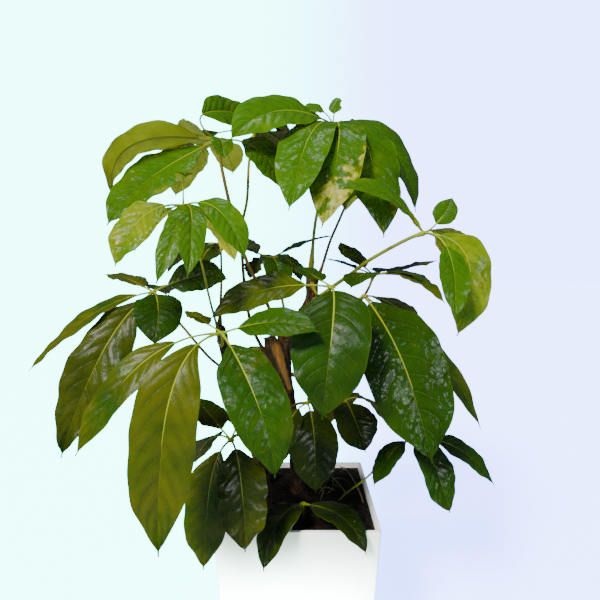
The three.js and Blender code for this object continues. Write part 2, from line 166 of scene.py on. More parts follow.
def attribute_values(piece: bpy.types.Object, name: str) -> np.ndarray:
    """The values of one of a piece's own number attributes."""
    values = np.empty(len(piece.data.vertices))
    piece.data.attributes[name].data.foreach_get("value", values)
    return values


def copied(template: bpy.types.Object, name: str) -> bpy.types.Object:
    """A copy of a template with a mesh of its own."""
    piece = template.copy()
    piece.data = template.data.copy()
    piece.name = name
    bpy.context.scene.collection.objects.link(piece)
    return piece


def joined(parts: list[bpy.types.Object], name: str) -> bpy.types.Object:
    """Joins parts into one piece and names it."""
    activate(parts[0])
    for part in parts:
        part.select_set(True)
    if len(parts) > 1:
        bpy.ops.object.join()
    piece = bpy.context.object
    piece.name = name
    piece.data.name = name
    return piece


def smooth(piece: bpy.types.Object, degrees: float) -> None:
    """Shades a piece smooth, but for edges sharper than an angle."""
    activate(piece)
    bpy.ops.object.shade_smooth_by_angle(angle=math.radians(degrees))


def finish_piece(
    piece: bpy.types.Object, nodes: list[str], materials: list[bpy.types.Material]
) -> None:
    """Dresses a piece, hides the solids that it replaces and logs which they are.

    Args:
        piece: The finished mesh, at the origin.
        nodes: The solids that the piece replaces.
        materials: One for each of the piece's material indices.
    """
    if len(piece.data.materials) != len(materials):
        piece.data.materials.clear()
        for material in materials:
            piece.data.materials.append(material)
    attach(piece, BODY)
    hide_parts(*nodes)
    log.info("%s: %d faces, for %s", piece.name, len(piece.data.polygons), ", ".join(nodes))


class Path:
    """A smooth line through space, with a frame that turns as little as it can along it."""

    def __init__(self, points: np.ndarray) -> None:
        """Measures the line.

        Args:
            points: Closely spaced points, one row each.
        """
        lengths = np.linalg.norm(np.diff(points, axis=0), axis=1)
        self.points = points
        self.length = float(lengths.sum())
        self.shares = np.concatenate([[0.0], np.cumsum(lengths)]) / self.length
        self.tangents = unit(np.gradient(points, self.shares, axis=0))
        self.normals = self._carried_normals()

    @classmethod
    def through(cls, points: tuple[Point, ...]) -> "Path":
        """The centripetal Catmull-Rom curve that the solids follow.

        Args:
            points: Points in millimetres that the curve passes through.

        Returns:
            The path, in metres.
        """
        given = np.array(points, float) * MM
        given = np.vstack([2 * given[0] - given[1], given, 2 * given[-1] - given[-2]])
        share = np.linspace(0, 1, STRETCH_STEPS, endpoint=False)[:, None]
        rows = []
        for before, start, end, after in zip(given, given[1:], given[2:], given[3:]):
            pairs = ((before, start), (start, end), (end, after))
            gaps = [np.linalg.norm(far - near) ** 0.5 for near, far in pairs]
            leave = (start - before) / gaps[0] - (end - before) / (gaps[0] + gaps[1])
            leave = (leave + (end - start) / gaps[1]) * gaps[1]
            arrive = (end - start) / gaps[1] - (after - start) / (gaps[1] + gaps[2])
            arrive = (arrive + (after - end) / gaps[2]) * gaps[1]
            square = -3 * start + 3 * end - 2 * leave - arrive
            cube = 2 * start - 2 * end + leave + arrive
            rows.append(start + leave * share + square * share**2 + cube * share**3)
        return cls(np.vstack([*rows, given[-2]]))

    @classmethod
    def arch(cls, start: np.ndarray, turn: np.ndarray, end: np.ndarray) -> "Path":
        """The quadratic arch from start to end that heads for turn first."""
        share = np.linspace(0, 1, ARCH_STEPS)[:, None]
        return cls(start * (1 - share) ** 2 + 2 * turn * share * (1 - share) + end * share**2)

    def _carried_normals(self) -> np.ndarray:
        """A normal at every point, carried along the line without twist."""
        first = self.tangents[0]
        side = np.array([1.0, 0.0, 0.0]) if abs(first[0]) < 0.7 else np.array([0.0, 1.0, 0.0])
        normal = side
        normals = []
        for tangent in self.tangents:
            normal = normal - tangent * (normal @ tangent)
            normal = normal / np.linalg.norm(normal)
            normals.append(normal)
        return np.array(normals)

    def at(self, shares: np.ndarray) -> tuple[np.ndarray, np.ndarray, np.ndarray]:
        """Points, tangents and normals at shares of the length, one row each."""
        points, tangents, normals = (
            np.stack([np.interp(shares, self.shares, column) for column in rows.T], axis=1)
            for rows in (self.points, self.tangents, self.normals)
        )
        return points, unit(tangents), unit(normals)


@cache
def rod_template(sides: int, steps: int) -> bpy.types.Object:
    """A closed round column of radius 1 from z = 0 to 1, extruded ring by ring."""
    deselect()
    bpy.ops.mesh.primitive_circle_add(vertices=sides, radius=1, fill_type="NGON")
    template = bpy.context.object
    bpy.ops.object.mode_set(mode="EDIT")
    bpy.ops.mesh.select_all(action="SELECT")
    for _ in range(steps):
        bpy.ops.mesh.extrude_region_move(TRANSFORM_OT_translate={"value": (0, 0, 1 / steps)})
    bpy.ops.mesh.select_all(action="SELECT")
    bpy.ops.mesh.normals_make_consistent(inside=False)
    return put_away(template, f"rod_{sides}_{steps}")


@cache
def blade_template(detail: Detail) -> bpy.types.Object:
    """A flat square grid from -1 to 1, denser towards its middle line."""
    deselect()
    across, along = detail.value
    bpy.ops.mesh.primitive_grid_add(x_subdivisions=across, y_subdivisions=along, size=2)
    template = bpy.context.object
    places = corners(template)
    places[:, 0] = np.sign(places[:, 0]) * np.abs(places[:, 0]) ** 1.35
    move_corners(template, places)
    return put_away(template, f"blade_{across}_{along}")


def put_away(template: bpy.types.Object, name: str) -> bpy.types.Object:
    """Takes a template out of the scene, so that only its copies show."""
    deselect()
    template.name = name
    bpy.context.scene.collection.objects.unlink(template)
    return template


def bend_rod(
    name: str,
    path: Path,
    radius_at: Callable[[np.ndarray, np.ndarray], np.ndarray],
    sides: int,
    steps: int,
) -> bpy.types.Object:
    """A rod along a path.

    Args:
        name: The new object's name.
        path: The line that the rod follows.
        radius_at: Gives radii in metres from shares of the length and angles round the rod.
        sides: Faces round the rod.
        steps: Faces along it.

    Returns:
        The rod, with the share of its length stored as the attribute along.
    """
    rod = copied(rod_template(sides, steps), name)
    round_x, round_y, share = corners(rod).T
    points, tangents, normals = path.at(share)
    out = normals * round_x[:, None] + np.cross(tangents, normals) * round_y[:, None]
    radii = radius_at(share, np.arctan2(round_y, round_x))
    move_corners(rod, points + out * radii[:, None])
    write_attribute(rod, "along", share)
    return rod


class Graph:
    """Short calls for adding and joining the nodes of one material or node group."""

    def __init__(self, tree: bpy.types.NodeTree) -> None:
        """Wraps a node tree."""
        self.tree = tree

    def node(self, kind: str, **settings: object) -> bpy.types.Node:
        """Adds a node and sets its properties."""
        made = self.tree.nodes.new(kind)
        for name, value in settings.items():
            setattr(made, name, value)
        return made

    def feed(self, target: Socket, value: Socket | float | tuple) -> None:
        """Joins a socket to an input, or sets the input's value."""
        if isinstance(value, bpy.types.NodeSocket):
            self.tree.links.new(value, target)
        else:
            target.default_value = value

    def math(self, operation: str, first: Socket | float, second: Socket | float = 0.0) -> Socket:
        """A math node's result."""
        made = self.node("ShaderNodeMath", operation=operation)
        self.feed(made.inputs[0], first)
        self.feed(made.inputs[1], second)
        return made.outputs[0]

    def times(self, first: Socket | float, second: Socket | float) -> Socket:
        """A product."""
        return self.math("MULTIPLY", first, second)

    def plus(self, first: Socket | float, second: Socket | float) -> Socket:
        """A sum."""
        return self.math("ADD", first, second)

    def less(self, first: Socket | float, second: Socket | float) -> Socket:
        """A difference."""
        return self.math("SUBTRACT", first, second)

    def rest(self, value: Socket) -> Socket:
        """What a value lacks of 1."""
        return self.less(1.0, value)

    def climb(self, value: Socket, low: float, high: float, top: float = 1.0) -> Socket:
        """A smooth climb from 0 at low to top at high."""
        made = self.node("ShaderNodeMapRange", interpolation_type="SMOOTHSTEP")
        self.feed(made.inputs["Value"], value)
        made.inputs["From Min"].default_value = low
        made.inputs["From Max"].default_value = high
        made.inputs["To Max"].default_value = top
        return made.outputs["Result"]

    def blend(self, share: Socket | float, first: Socket | tuple, second: Socket | tuple) -> Socket:
        """A colour between two, at a share of the way."""
        made = self.node("ShaderNodeMix", data_type="RGBA")
        self.feed(made.inputs[0], share)
        self.feed(made.inputs[6], first)
        self.feed(made.inputs[7], second)
        return made.outputs[2]

    def scaled(self, vector: Socket, scale: tuple) -> Socket:
        """A vector with each axis scaled."""
        made = self.node("ShaderNodeMapping")
        self.feed(made.inputs["Vector"], vector)
        made.inputs["Scale"].default_value = scale
        return made.outputs["Vector"]

    def noise(self, vector: Socket, scale: float, detail: float = 3.0, rough: float = 0.55) -> Socket:
        """Noise from 0 to 1 at a scale in cycles a metre."""
        made = self.node("ShaderNodeTexNoise")
        self.feed(made.inputs["Vector"], vector)
        made.inputs["Scale"].default_value = scale
        made.inputs["Detail"].default_value = detail
        made.inputs["Roughness"].default_value = rough
        return made.outputs["Fac"]

    def cells(self, vector: Socket, scale: float) -> Socket:
        """Distance from the cells of a Voronoi pattern."""
        made = self.node("ShaderNodeTexVoronoi")
        self.feed(made.inputs["Vector"], vector)
        made.inputs["Scale"].default_value = scale
        return made.outputs["Distance"]

    def attribute(self, name: str) -> bpy.types.Node:
        """The node that reads a piece's own attribute."""
        return self.node("ShaderNodeAttribute", attribute_name=name)

    def place(self) -> Socket:
        """Object coordinates, in metres."""
        return self.node("ShaderNodeTexCoord").outputs["Object"]

    def relief(self, height: Socket, depth: float) -> Socket:
        """A normal that shows a height of so many metres."""
        made = self.node("ShaderNodeBump")
        self.feed(made.inputs["Height"], height)
        made.inputs["Distance"].default_value = depth
        made.inputs["Strength"].default_value = 1.0
        return made.outputs["Normal"]


def new_material(name: str) -> tuple[bpy.types.Material, Graph, bpy.types.Node]:
    """An empty material, its graph and its Principled shader."""
    material = bpy.data.materials.new(name)
    material.use_nodes = True
    graph = Graph(material.node_tree)
    return material, graph, material.node_tree.nodes["Principled BSDF"]


def new_group(name: str, inputs: dict[str, str], outputs: dict[str, str]) -> tuple:
    """An empty shader node group.

    Args:
        name: The group's name.
        inputs: The kind of each input socket, by its name.
        outputs: The kind of each output socket, by its name.

    Returns:
        The group, its graph, and its input and output nodes.
    """
    tree = bpy.data.node_groups.new(name, "ShaderNodeTree")
    for way, sockets in (("INPUT", inputs), ("OUTPUT", outputs)):
        for label, kind in sockets.items():
            tree.interface.new_socket(label, in_out=way, socket_type=f"NodeSocket{kind}")
    graph = Graph(tree)
    return tree, graph, graph.node("NodeGroupInput"), graph.node("NodeGroupOutput")


@cache
def vein_group() -> bpy.types.NodeTree:
    """Masks of a blade's veins, read from its own place and skin attributes.

    Returns:
        A group that puts out Side Veins, Midrib, Net (the height of the fine network), Quilt (the
        height of the cushions between the side veins) and Margin (0 at the midrib, 1 at the edge).
    """
    outputs = {name: "Float" for name in ("Side Veins", "Midrib", "Net", "Quilt", "Margin")}
    tree, graph, given, made = new_group("leaf_veins", {"Net Scale": "Float"}, outputs)
    place = graph.node("ShaderNodeSeparateXYZ")
    graph.feed(place.inputs[0], graph.attribute("leaf_place").outputs["Vector"])
    skin = graph.attribute("leaf_skin").outputs["Vector"]
    skin_parts = graph.node("ShaderNodeSeparateXYZ")
    graph.feed(skin_parts.inputs[0], skin)

    out = graph.math("ABSOLUTE", place.outputs["X"])
    arch = graph.times(graph.times(out, out), VEIN_ARCH)
    climbed = graph.plus(graph.times(out, VEIN_SLANT), arch)
    stagger = graph.times(graph.math("SIGN", place.outputs["X"]), 0.25)
    root = graph.less(place.outputs["Y"], climbed)
    phase = graph.plus(graph.times(root, VEIN_PAIRS), stagger)
    wobble = graph.times(graph.less(graph.noise(skin, 16.0), 0.5), 0.6)
    near = graph.math("PINGPONG", graph.plus(phase, wobble), 0.5)
    line = graph.rest(graph.climb(near, 0.005, 0.055))
    inward = graph.rest(graph.climb(out, 0.55, 0.97))
    graph.feed(made.inputs["Side Veins"], graph.times(line, inward))
    flat = graph.rest(graph.climb(near, 0.0, 0.42))
    graph.feed(made.inputs["Quilt"], graph.rest(graph.times(flat, inward)))

    middle = graph.math("ABSOLUTE", skin_parts.outputs["X"])
    taper = graph.less(1.25, place.outputs["Y"])
    width = graph.math("DIVIDE", middle, taper)
    graph.feed(made.inputs["Midrib"], graph.rest(graph.climb(width, 0.0001, 0.0005)))

    net = graph.node("ShaderNodeTexVoronoi", feature="DISTANCE_TO_EDGE")
    graph.feed(net.inputs["Vector"], skin)
    graph.feed(net.inputs["Scale"], given.outputs["Net Scale"])
    graph.feed(made.inputs["Net"], graph.climb(net.outputs["Distance"], 0.0, 0.28))
    graph.feed(made.inputs["Margin"], out)
    return tree


@cache
def blotch_group() -> bpy.types.NodeTree:
    """A mask of soft-edged blotches that cover about the given share of a surface."""
    inputs = {"Vector": "Vector", "Scale": "Float", "Cover": "Float"}
    tree, graph, given, made = new_group("blotches", inputs, {"Mask": "Float"})
    cloud = graph.node("ShaderNodeTexNoise")
    graph.feed(cloud.inputs["Vector"], given.outputs["Vector"])
    graph.feed(cloud.inputs["Scale"], given.outputs["Scale"])
    cloud.inputs["Detail"].default_value = 5.0
    cloud.inputs["Roughness"].default_value = 0.62
    raised = graph.plus(cloud.outputs["Fac"], graph.times(given.outputs["Cover"], 0.3))
    graph.feed(made.inputs["Mask"], graph.climb(raised, 0.66, 0.8))
    return tree


@dataclass(frozen=True)
class LeafFinish:
    """A blade's upper face: waxy green with pale veins and painted shade beside them, mottled by age.
    """

    name: str
    deep: tuple
    bright: tuple
    vein: tuple
    midrib: tuple
    bleached: tuple
    withered: tuple
    bronzed: tuple
    vein_strength: float
    gloss: float

    def material(self) -> bpy.types.Material:
        """Builds the material."""
        material, graph, shader = new_material(self.name)
        veins = graph.node("ShaderNodeGroup", node_tree=vein_group())
        veins.inputs["Net Scale"].default_value = NET_SCALE
        place = graph.place()
        crinkle = graph.attribute("leaf_crinkle").outputs["Fac"]
        graph.feed(shader.inputs["Base Color"], self.colour(graph, veins.outputs, place))
        uneven = graph.times(graph.noise(place, 60.0, 3.0), 0.12)
        dull = graph.plus(uneven, graph.times(graph.rest(crinkle), 0.1))
        graph.feed(shader.inputs["Roughness"], graph.plus(dull, self.gloss))
        shader.inputs["Coat Weight"].default_value = 0.15
        shader.inputs["Coat Roughness"].default_value = 0.1
        height = self.height(graph, veins.outputs, crinkle)
        graph.feed(shader.inputs["Normal"], graph.relief(height, 0.0008))
        return material

    def colour(self, graph: Graph, veins: bpy.types.bpy_prop_collection, place: Socket) -> Socket:
        """The face's colour: its green, then ripe and dry patches, bronzing, painted shade beside the
        sunk side veins, and pale veins.

        Args:
            graph: The graph to build in.
            veins: The outputs of the vein group.
            place: Object coordinates.

        Returns:
            The colour.
        """
        traits = graph.node("ShaderNodeSeparateXYZ")
        graph.feed(traits.inputs[0], graph.attribute("leaf_traits").outputs["Vector"])
        light, bleach, bronze = (traits.outputs[axis] for axis in "XYZ")
        tone = graph.plus(graph.times(graph.noise(place, 26.0, 4.0), 0.7), graph.times(light, 0.9))
        colour = graph.blend(graph.climb(tone, 0.35, 1.25), self.deep, self.bright)
        ripe = graph.times(graph.less(graph.noise(place, 30.0, 4.0), 0.5), 1.6)
        ripe = graph.climb(graph.plus(ripe, bleach), 0.2, 0.95, 0.9)
        colour = graph.blend(ripe, colour, self.bleached)

        fleck = graph.node("ShaderNodeGroup", node_tree=blotch_group())
        graph.feed(fleck.inputs["Vector"], place)
        fleck.inputs["Scale"].default_value = 70.0
        graph.feed(fleck.inputs["Cover"], graph.attribute("leaf_withered").outputs["Fac"])
        fleck_mask = fleck.outputs["Mask"]
        colour = graph.blend(graph.climb(fleck_mask, 0.02, 0.4, 0.8), colour, self.bronzed)
        dead = graph.climb(graph.noise(place, 130.0, 3.0), 0.42, 0.6)
        dry = graph.blend(dead, self.bleached, self.withered)
        colour = graph.blend(graph.climb(fleck_mask, 0.4, 0.95, 0.9), colour, dry)
        rust = graph.times(graph.climb(graph.noise(place, 18.0, 4.0), 0.28, 0.62), bronze)
        colour = graph.blend(rust, colour, self.bronzed)

        colour = graph.blend(graph.times(graph.rest(veins["Net"]), 0.12), colour, self.bright)
        # Painted shade: the green darkens in the sunk grooves along the side veins, as if the cushions
        # between them shaded the grooves.
        colour = graph.blend(graph.times(graph.rest(veins["Quilt"]), 0.2), colour, self.deep)
        colour = graph.blend(graph.times(veins["Side Veins"], self.vein_strength), colour, self.vein)
        colour = graph.blend(graph.times(veins["Midrib"], 0.9), colour, self.midrib)
        return graph.blend(graph.climb(veins["Margin"], 0.96, 1.0, 0.6), colour, self.vein)

    def height(self, graph: Graph, veins: bpy.types.bpy_prop_collection, crinkle: Socket) -> Socket:
        """The relief: puckers as deep as the blade's crinkle, cushions, and sunk veins.

        Args:
            graph: The graph to build in.
            veins: The outputs of the vein group.
            crinkle: How puckered the blade's skin is.

        Returns:
            The height, as shares of the finish's depth of relief.
        """
        skin = graph.attribute("leaf_skin").outputs["Vector"]
        pucker = graph.plus(graph.cells(skin, 150.0), graph.noise(skin, 120.0, 2.0))
        height = graph.times(pucker, graph.times(crinkle, 1.4))
        height = graph.plus(height, graph.times(veins["Net"], 0.07))
        height = graph.plus(height, graph.times(veins["Quilt"], 0.3))
        height = graph.plus(height, graph.times(graph.noise(skin, 90.0, 2.0), 0.65))
        height = graph.less(height, graph.times(veins["Side Veins"], 0.18))
        return graph.less(height, graph.times(veins["Midrib"], 0.5))


@dataclass(frozen=True)
class UndersideFinish:
    """A blade's underside: paler and duller, with raised veins."""

    name: str
    deep: tuple
    pale: tuple
    vein: tuple

    def material(self) -> bpy.types.Material:
        """Builds the material."""
        material, graph, shader = new_material(self.name)
        veins = graph.node("ShaderNodeGroup", node_tree=vein_group())
        veins.inputs["Net Scale"].default_value = NET_SCALE
        place = graph.place()
        colour = graph.blend(graph.climb(graph.noise(place, 22.0, 4.0), 0.3, 0.7), self.deep, self.pale)
        side = graph.times(veins.outputs["Side Veins"], 0.55)
        colour = graph.blend(side, colour, self.vein)
        colour = graph.blend(graph.times(veins.outputs["Midrib"], 0.85), colour, self.vein)
        graph.feed(shader.inputs["Base Color"], colour)
        dull = graph.times(graph.noise(place, 80.0), 0.2)
        graph.feed(shader.inputs["Roughness"], graph.plus(dull, 0.42))
        height = graph.plus(veins.outputs["Side Veins"], graph.times(veins.outputs["Net"], -0.3))
        graph.feed(shader.inputs["Normal"], graph.relief(height, 0.0005))
        return material


@dataclass(frozen=True)
class StalkFinish:
    """Smooth stalks that change colour along their length, with fine lengthwise streaks."""

    name: str
    foot: tuple
    top: tuple
    speck: tuple
    fresh: tuple
    change_from: float
    change_to: float

    def material(self) -> bpy.types.Material:
        """Builds the material."""
        material, graph, shader = new_material(self.name)
        place = graph.place()
        along = graph.attribute("along").outputs["Fac"]
        wander = graph.times(graph.noise(place, 40.0), 0.4)
        share = graph.climb(graph.plus(along, wander), self.change_from, self.change_to)
        colour = graph.blend(share, self.foot, self.top)
        streak = graph.noise(graph.scaled(place, (1.0, 1.0, 0.12)), 700.0, 3.0)
        colour = graph.blend(graph.climb(streak, 0.5, 0.8, 0.45), colour, self.speck)
        colour = graph.blend(graph.attribute("fresh").outputs["Fac"], colour, self.fresh)
        graph.feed(shader.inputs["Base Color"], colour)
        dull = graph.times(graph.noise(place, 120.0), 0.25)
        graph.feed(shader.inputs["Roughness"], graph.plus(dull, 0.3))
        graph.feed(shader.inputs["Normal"], graph.relief(streak, 0.0002))
        return material


@dataclass(frozen=True)
class BarkFinish:
    """Brown bark: cracked along the cane, with paler corky spots."""

    name: str
    deep: tuple
    raised: tuple
    spot: tuple
    bare: tuple

    def material(self) -> bpy.types.Material:
        """Builds the material."""
        material, graph, shader = new_material(self.name)
        place = graph.place()
        crack = graph.noise(graph.scaled(place, (1.0, 1.0, 0.18)), 420.0, 5.0, 0.65)
        patch = graph.noise(place, 70.0, 4.0)
        colour = graph.blend(graph.climb(crack, 0.38, 0.66), self.deep, self.raised)
        colour = graph.blend(graph.climb(patch, 0.45, 0.75, 0.55), colour, self.raised)
        spots = graph.cells(graph.scaled(place, (1.0, 1.0, 0.5)), 260.0)
        colour = graph.blend(graph.less(0.5, graph.climb(spots, 0.12, 0.3, 0.5)), colour, self.spot)
        bare = graph.attribute("bare").outputs["Fac"]
        grain = graph.climb(graph.noise(graph.scaled(place, (1.0, 1.0, 0.1)), 380.0, 4.0), 0.3, 0.7)
        streak = (*(0.45 * part for part in self.bare[:3]), 1.0)
        inner = graph.blend(grain, self.bare, streak)
        colour = graph.blend(bare, colour, inner)
        graph.feed(shader.inputs["Base Color"], colour)
        graph.feed(shader.inputs["Roughness"], graph.plus(graph.times(patch, 0.3), 0.55))
        graph.feed(shader.inputs["Normal"], graph.relief(crack, 0.0012))
        return material


@dataclass(frozen=True)
class SoilFinish:
    """Damp black soil: brown-black crumbs, the wet ones a little shiny."""

    name: str
    deep: tuple
    crumb: tuple

    def material(self) -> bpy.types.Material:
        """Builds the material."""
        material, graph, shader = new_material(self.name)
        place = graph.place()
        crumbs = graph.cells(place, 380.0)
        patch = graph.noise(place, 45.0, 5.0)
        colour = graph.blend(graph.climb(patch, 0.4, 0.75), self.deep, self.crumb)
        fibre = graph.noise(graph.scaled(place, (1.0, 0.3, 1.0)), 900.0, 2.0)
        pale = (*(3 * part for part in self.crumb[:3]), 1.0)
        colour = graph.blend(graph.climb(fibre, 0.66, 0.8, 0.5), colour, pale)
        graph.feed(shader.inputs["Base Color"], colour)
        graph.feed(shader.inputs["Roughness"], graph.plus(graph.times(patch, 0.4), 0.55))
        graph.feed(shader.inputs["Normal"], graph.relief(crumbs, 0.0014))
        return material


@dataclass(frozen=True)
class GlazeFinish:
    """White glaze: smooth and faintly uneven, creamier in soft random patches and where dust lies."""

    name: str
    white: tuple
    cream: tuple

    def material(self) -> bpy.types.Material:
        """Builds the material."""
        material, graph, shader = new_material(self.name)
        place = graph.place()
        patch = graph.climb(graph.noise(place, 9.0, 4.0), 0.35, 0.7)
        colour = graph.blend(patch, self.white, self.cream)
        dust = graph.node("ShaderNodeGroup", node_tree=blotch_group())
        graph.feed(dust.inputs["Vector"], place)
        dust.inputs["Scale"].default_value = 160.0
        dust.inputs["Cover"].default_value = 0.1
        colour = graph.blend(graph.times(dust.outputs["Mask"], 0.25), colour, self.cream)
        graph.feed(shader.inputs["Base Color"], colour)
        smear = graph.times(graph.noise(place, 24.0, 4.0), 0.2)
        graph.feed(shader.inputs["Roughness"], graph.plus(smear, 0.22))
        shader.inputs["Coat Weight"].default_value = 0.3
        graph.feed(shader.inputs["Normal"], graph.relief(graph.noise(place, 55.0, 2.0), 0.0006))
        return material


def room_tint(graph: Graph, across: Socket, away: Socket, tints: tuple) -> Socket:
    """The room's tint in a level direction from the camera's place.

    Args:
        graph: The graph to build in.
        across: How far the direction goes to the right.
        away: How far it goes away from the viewer.
        tints: The tints on the left, in between and on the right.

    Returns:
        The tint.
    """
    left, middle, right = tints
    sideways = graph.math("DIVIDE", across, graph.math("MAXIMUM", away, ROOM_NARROWEST))
    tint = graph.blend(graph.climb(sideways, *ROOM_CHANGE), left, right)
    return graph.blend(graph.climb(away, *ROOM_VIEW), middle, tint)


@dataclass(frozen=True)
class FloorFinish:
    """A plain matte floor in the room's tints, which glows for the camera alone."""

    name: str
    left: tuple
    middle: tuple
    right: tuple
    glow: float

    def material(self) -> bpy.types.Material:
        """Builds the material."""
        material, graph, shader = new_material(self.name)
        place = graph.node("ShaderNodeSeparateXYZ")
        graph.feed(place.inputs[0], graph.place())
        forward = graph.plus(place.outputs["Y"], 0.64)
        square = graph.times(forward, forward)
        square = graph.plus(square, graph.times(place.outputs["X"], place.outputs["X"]))
        reach = graph.math("MAXIMUM", graph.math("SQRT", square), 0.01)
        across, away = (graph.math("DIVIDE", way, reach) for way in (place.outputs["X"], forward))
        tint = room_tint(graph, across, away, (self.left, self.middle, self.right))
        graph.feed(shader.inputs["Emission Color"], tint)
        shader.inputs["Base Color"].default_value = (0.62, 0.82, 0.75, 1)
        shader.inputs["Roughness"].default_value = 0.85
        rays = graph.node("ShaderNodeLightPath")
        glow = graph.times(rays.outputs["Is Camera Ray"], self.glow)
        graph.feed(shader.inputs["Emission Strength"], glow)
        return material


LEAF_FINISHES = {
    LeafTone.YOUNG: (
        LeafFinish(
            name="young_blade",
            deep=(0.0035, 0.022, 0.0002, 1),
            bright=(0.026, 0.078, 0.0004, 1),
            vein=(0.06, 0.105, 0.002, 1),
            midrib=(0.13, 0.16, 0.006, 1),
            bleached=(0.13, 0.15, 0.001, 1),
            withered=(0.25, 0.21, 0.045, 1),
            bronzed=(0.07, 0.06, 0.0006, 1),
            vein_strength=0.4,
            gloss=0.12,
        ),
        UndersideFinish(
            name="young_underside_painted_backlight",
            # Brighter than the blade's own underside: partly a paler underside, partly painted light
            # standing for daylight shining through the thin young blade.
            deep=(0.24, 0.23, 0.003, 1),
            pale=(0.36, 0.34, 0.004, 1),
            vein=(0.4, 0.4, 0.03, 1),
        ),
    ),
    LeafTone.MATURE: (
        LeafFinish(
            name="mature_blade",
            deep=(0.0008, 0.0058, 0.0002, 1),
            bright=(0.0088, 0.04, 0.0003, 1),
            vein=(0.028, 0.046, 0.002, 1),
            midrib=(0.1, 0.125, 0.008, 1),
            bleached=(0.06, 0.055, 0.0015, 1),
            withered=(0.16, 0.14, 0.06, 1),
            bronzed=(0.054, 0.053, 0.0006, 1),
            vein_strength=0.5,
            gloss=0.15,
        ),
        UndersideFinish(
            name="mature_underside",
            deep=(0.04, 0.038, 0.0008, 1),
            pale=(0.085, 0.078, 0.002, 1),
            vein=(0.14, 0.13, 0.008, 1),
        ),
    ),
}
STALK_FINISHES = {
    StalkTone.GREEN: StalkFinish(
        name="green_stalk",
        foot=(0.07, 0.055, 0.004, 1),
        top=(0.16, 0.17, 0.005, 1),
        speck=(0.07, 0.035, 0.004, 1),
        fresh=(0.15, 0.18, 0.006, 1),
        change_from=0.1,
        change_to=0.9,
    ),
    StalkTone.BROWN: StalkFinish(
        name="brown_stalk",
        foot=(0.06, 0.024, 0.004, 1),
        top=(0.17, 0.085, 0.009, 1),
        speck=(0.13, 0.085, 0.015, 1),
        fresh=(0.13, 0.14, 0.006, 1),
        change_from=0.3,
        change_to=1.2,
    ),
}
BARK = BarkFinish(
    name="bark",
    deep=(0.008, 0.004, 0.002, 1),
    raised=(0.045, 0.022, 0.008, 1),
    spot=(0.11, 0.07, 0.03, 1),
    bare=(0.32, 0.13, 0.016, 1),
)
STRAW = StalkFinish(
    name="dry_straw",
    foot=(0.09, 0.08, 0.03, 1),
    top=(0.16, 0.14, 0.06, 1),
    speck=(0.05, 0.035, 0.012, 1),
    fresh=(0.2, 0.2, 0.05, 1),
    change_from=0.0,
    change_to=0.8,
)
SOIL = SoilFinish(name="potting_soil", deep=(0.003, 0.002, 0.0015, 1), crumb=(0.014, 0.009, 0.006, 1))
GLAZE = GlazeFinish(name="white_glaze", white=(0.88, 0.87, 0.84, 1), cream=(0.78, 0.74, 0.65, 1))
FLOOR = FloorFinish(
    name="pale_floor",
    left=(0.064, 1.02, 0.94, 1),
    middle=(0.28, 0.67, 0.83, 1),
    right=(0.164, 0.22, 0.835, 1),
    glow=10.0,
)


@dataclass(frozen=True)
class BladeLook:
    """How a blade's face looks, each trait from 0 to about 1.

    light is how bright its green is, bleach how far it has turned yellow, bronze how far it has
    turned olive-brown, crinkle how puckered its skin is, wave how wavy its margins are, withered
    how much of it has gone pale and dry, and sound the share of its length that hasn't.
    """

    light: float
    bleach: float
    bronze: float
    crinkle: float
    wave: float
    withered: float = 0.0
    sound: float = 0.0


class Look(Enum):
    """The kinds of blade on the plant."""

    PLAIN = BladeLook(light=0.5, bleach=0.05, bronze=0.1, crinkle=0.3, wave=0.6)
    LIGHT = BladeLook(light=0.85, bleach=0.2, bronze=0.1, crinkle=0.35, wave=0.6, withered=0.1)
    SPECKLED = BladeLook(light=0.65, bleach=0.15, bronze=0.12, crinkle=0.7, wave=0.9, withered=0.03)
    YELLOWED = BladeLook(light=0.8, bleach=0.58, bronze=0.05, crinkle=0.7, wave=0.9, withered=0.2)
    WITHERED = BladeLook(
        light=0.5, bleach=0.2, bronze=0.05, crinkle=0.7, wave=0.9, withered=0.8, sound=0.45
    )
    PALE_TIP = BladeLook(
        light=0.6, bleach=0.15, bronze=0.1, crinkle=0.6, wave=0.9, withered=0.8, sound=0.72
    )
    QUILTED = BladeLook(light=0.5, bleach=0.04, bronze=0.1, crinkle=1.0, wave=0.9)
    OLIVE = BladeLook(light=0.6, bleach=0.1, bronze=0.8, crinkle=0.2, wave=0.9)
    BRONZE = BladeLook(light=0.2, bleach=0.05, bronze=0.5, crinkle=0.25, wave=2.0)
    DARK = BladeLook(light=0.15, bleach=0.0, bronze=0.2, crinkle=0.25, wave=0.7)


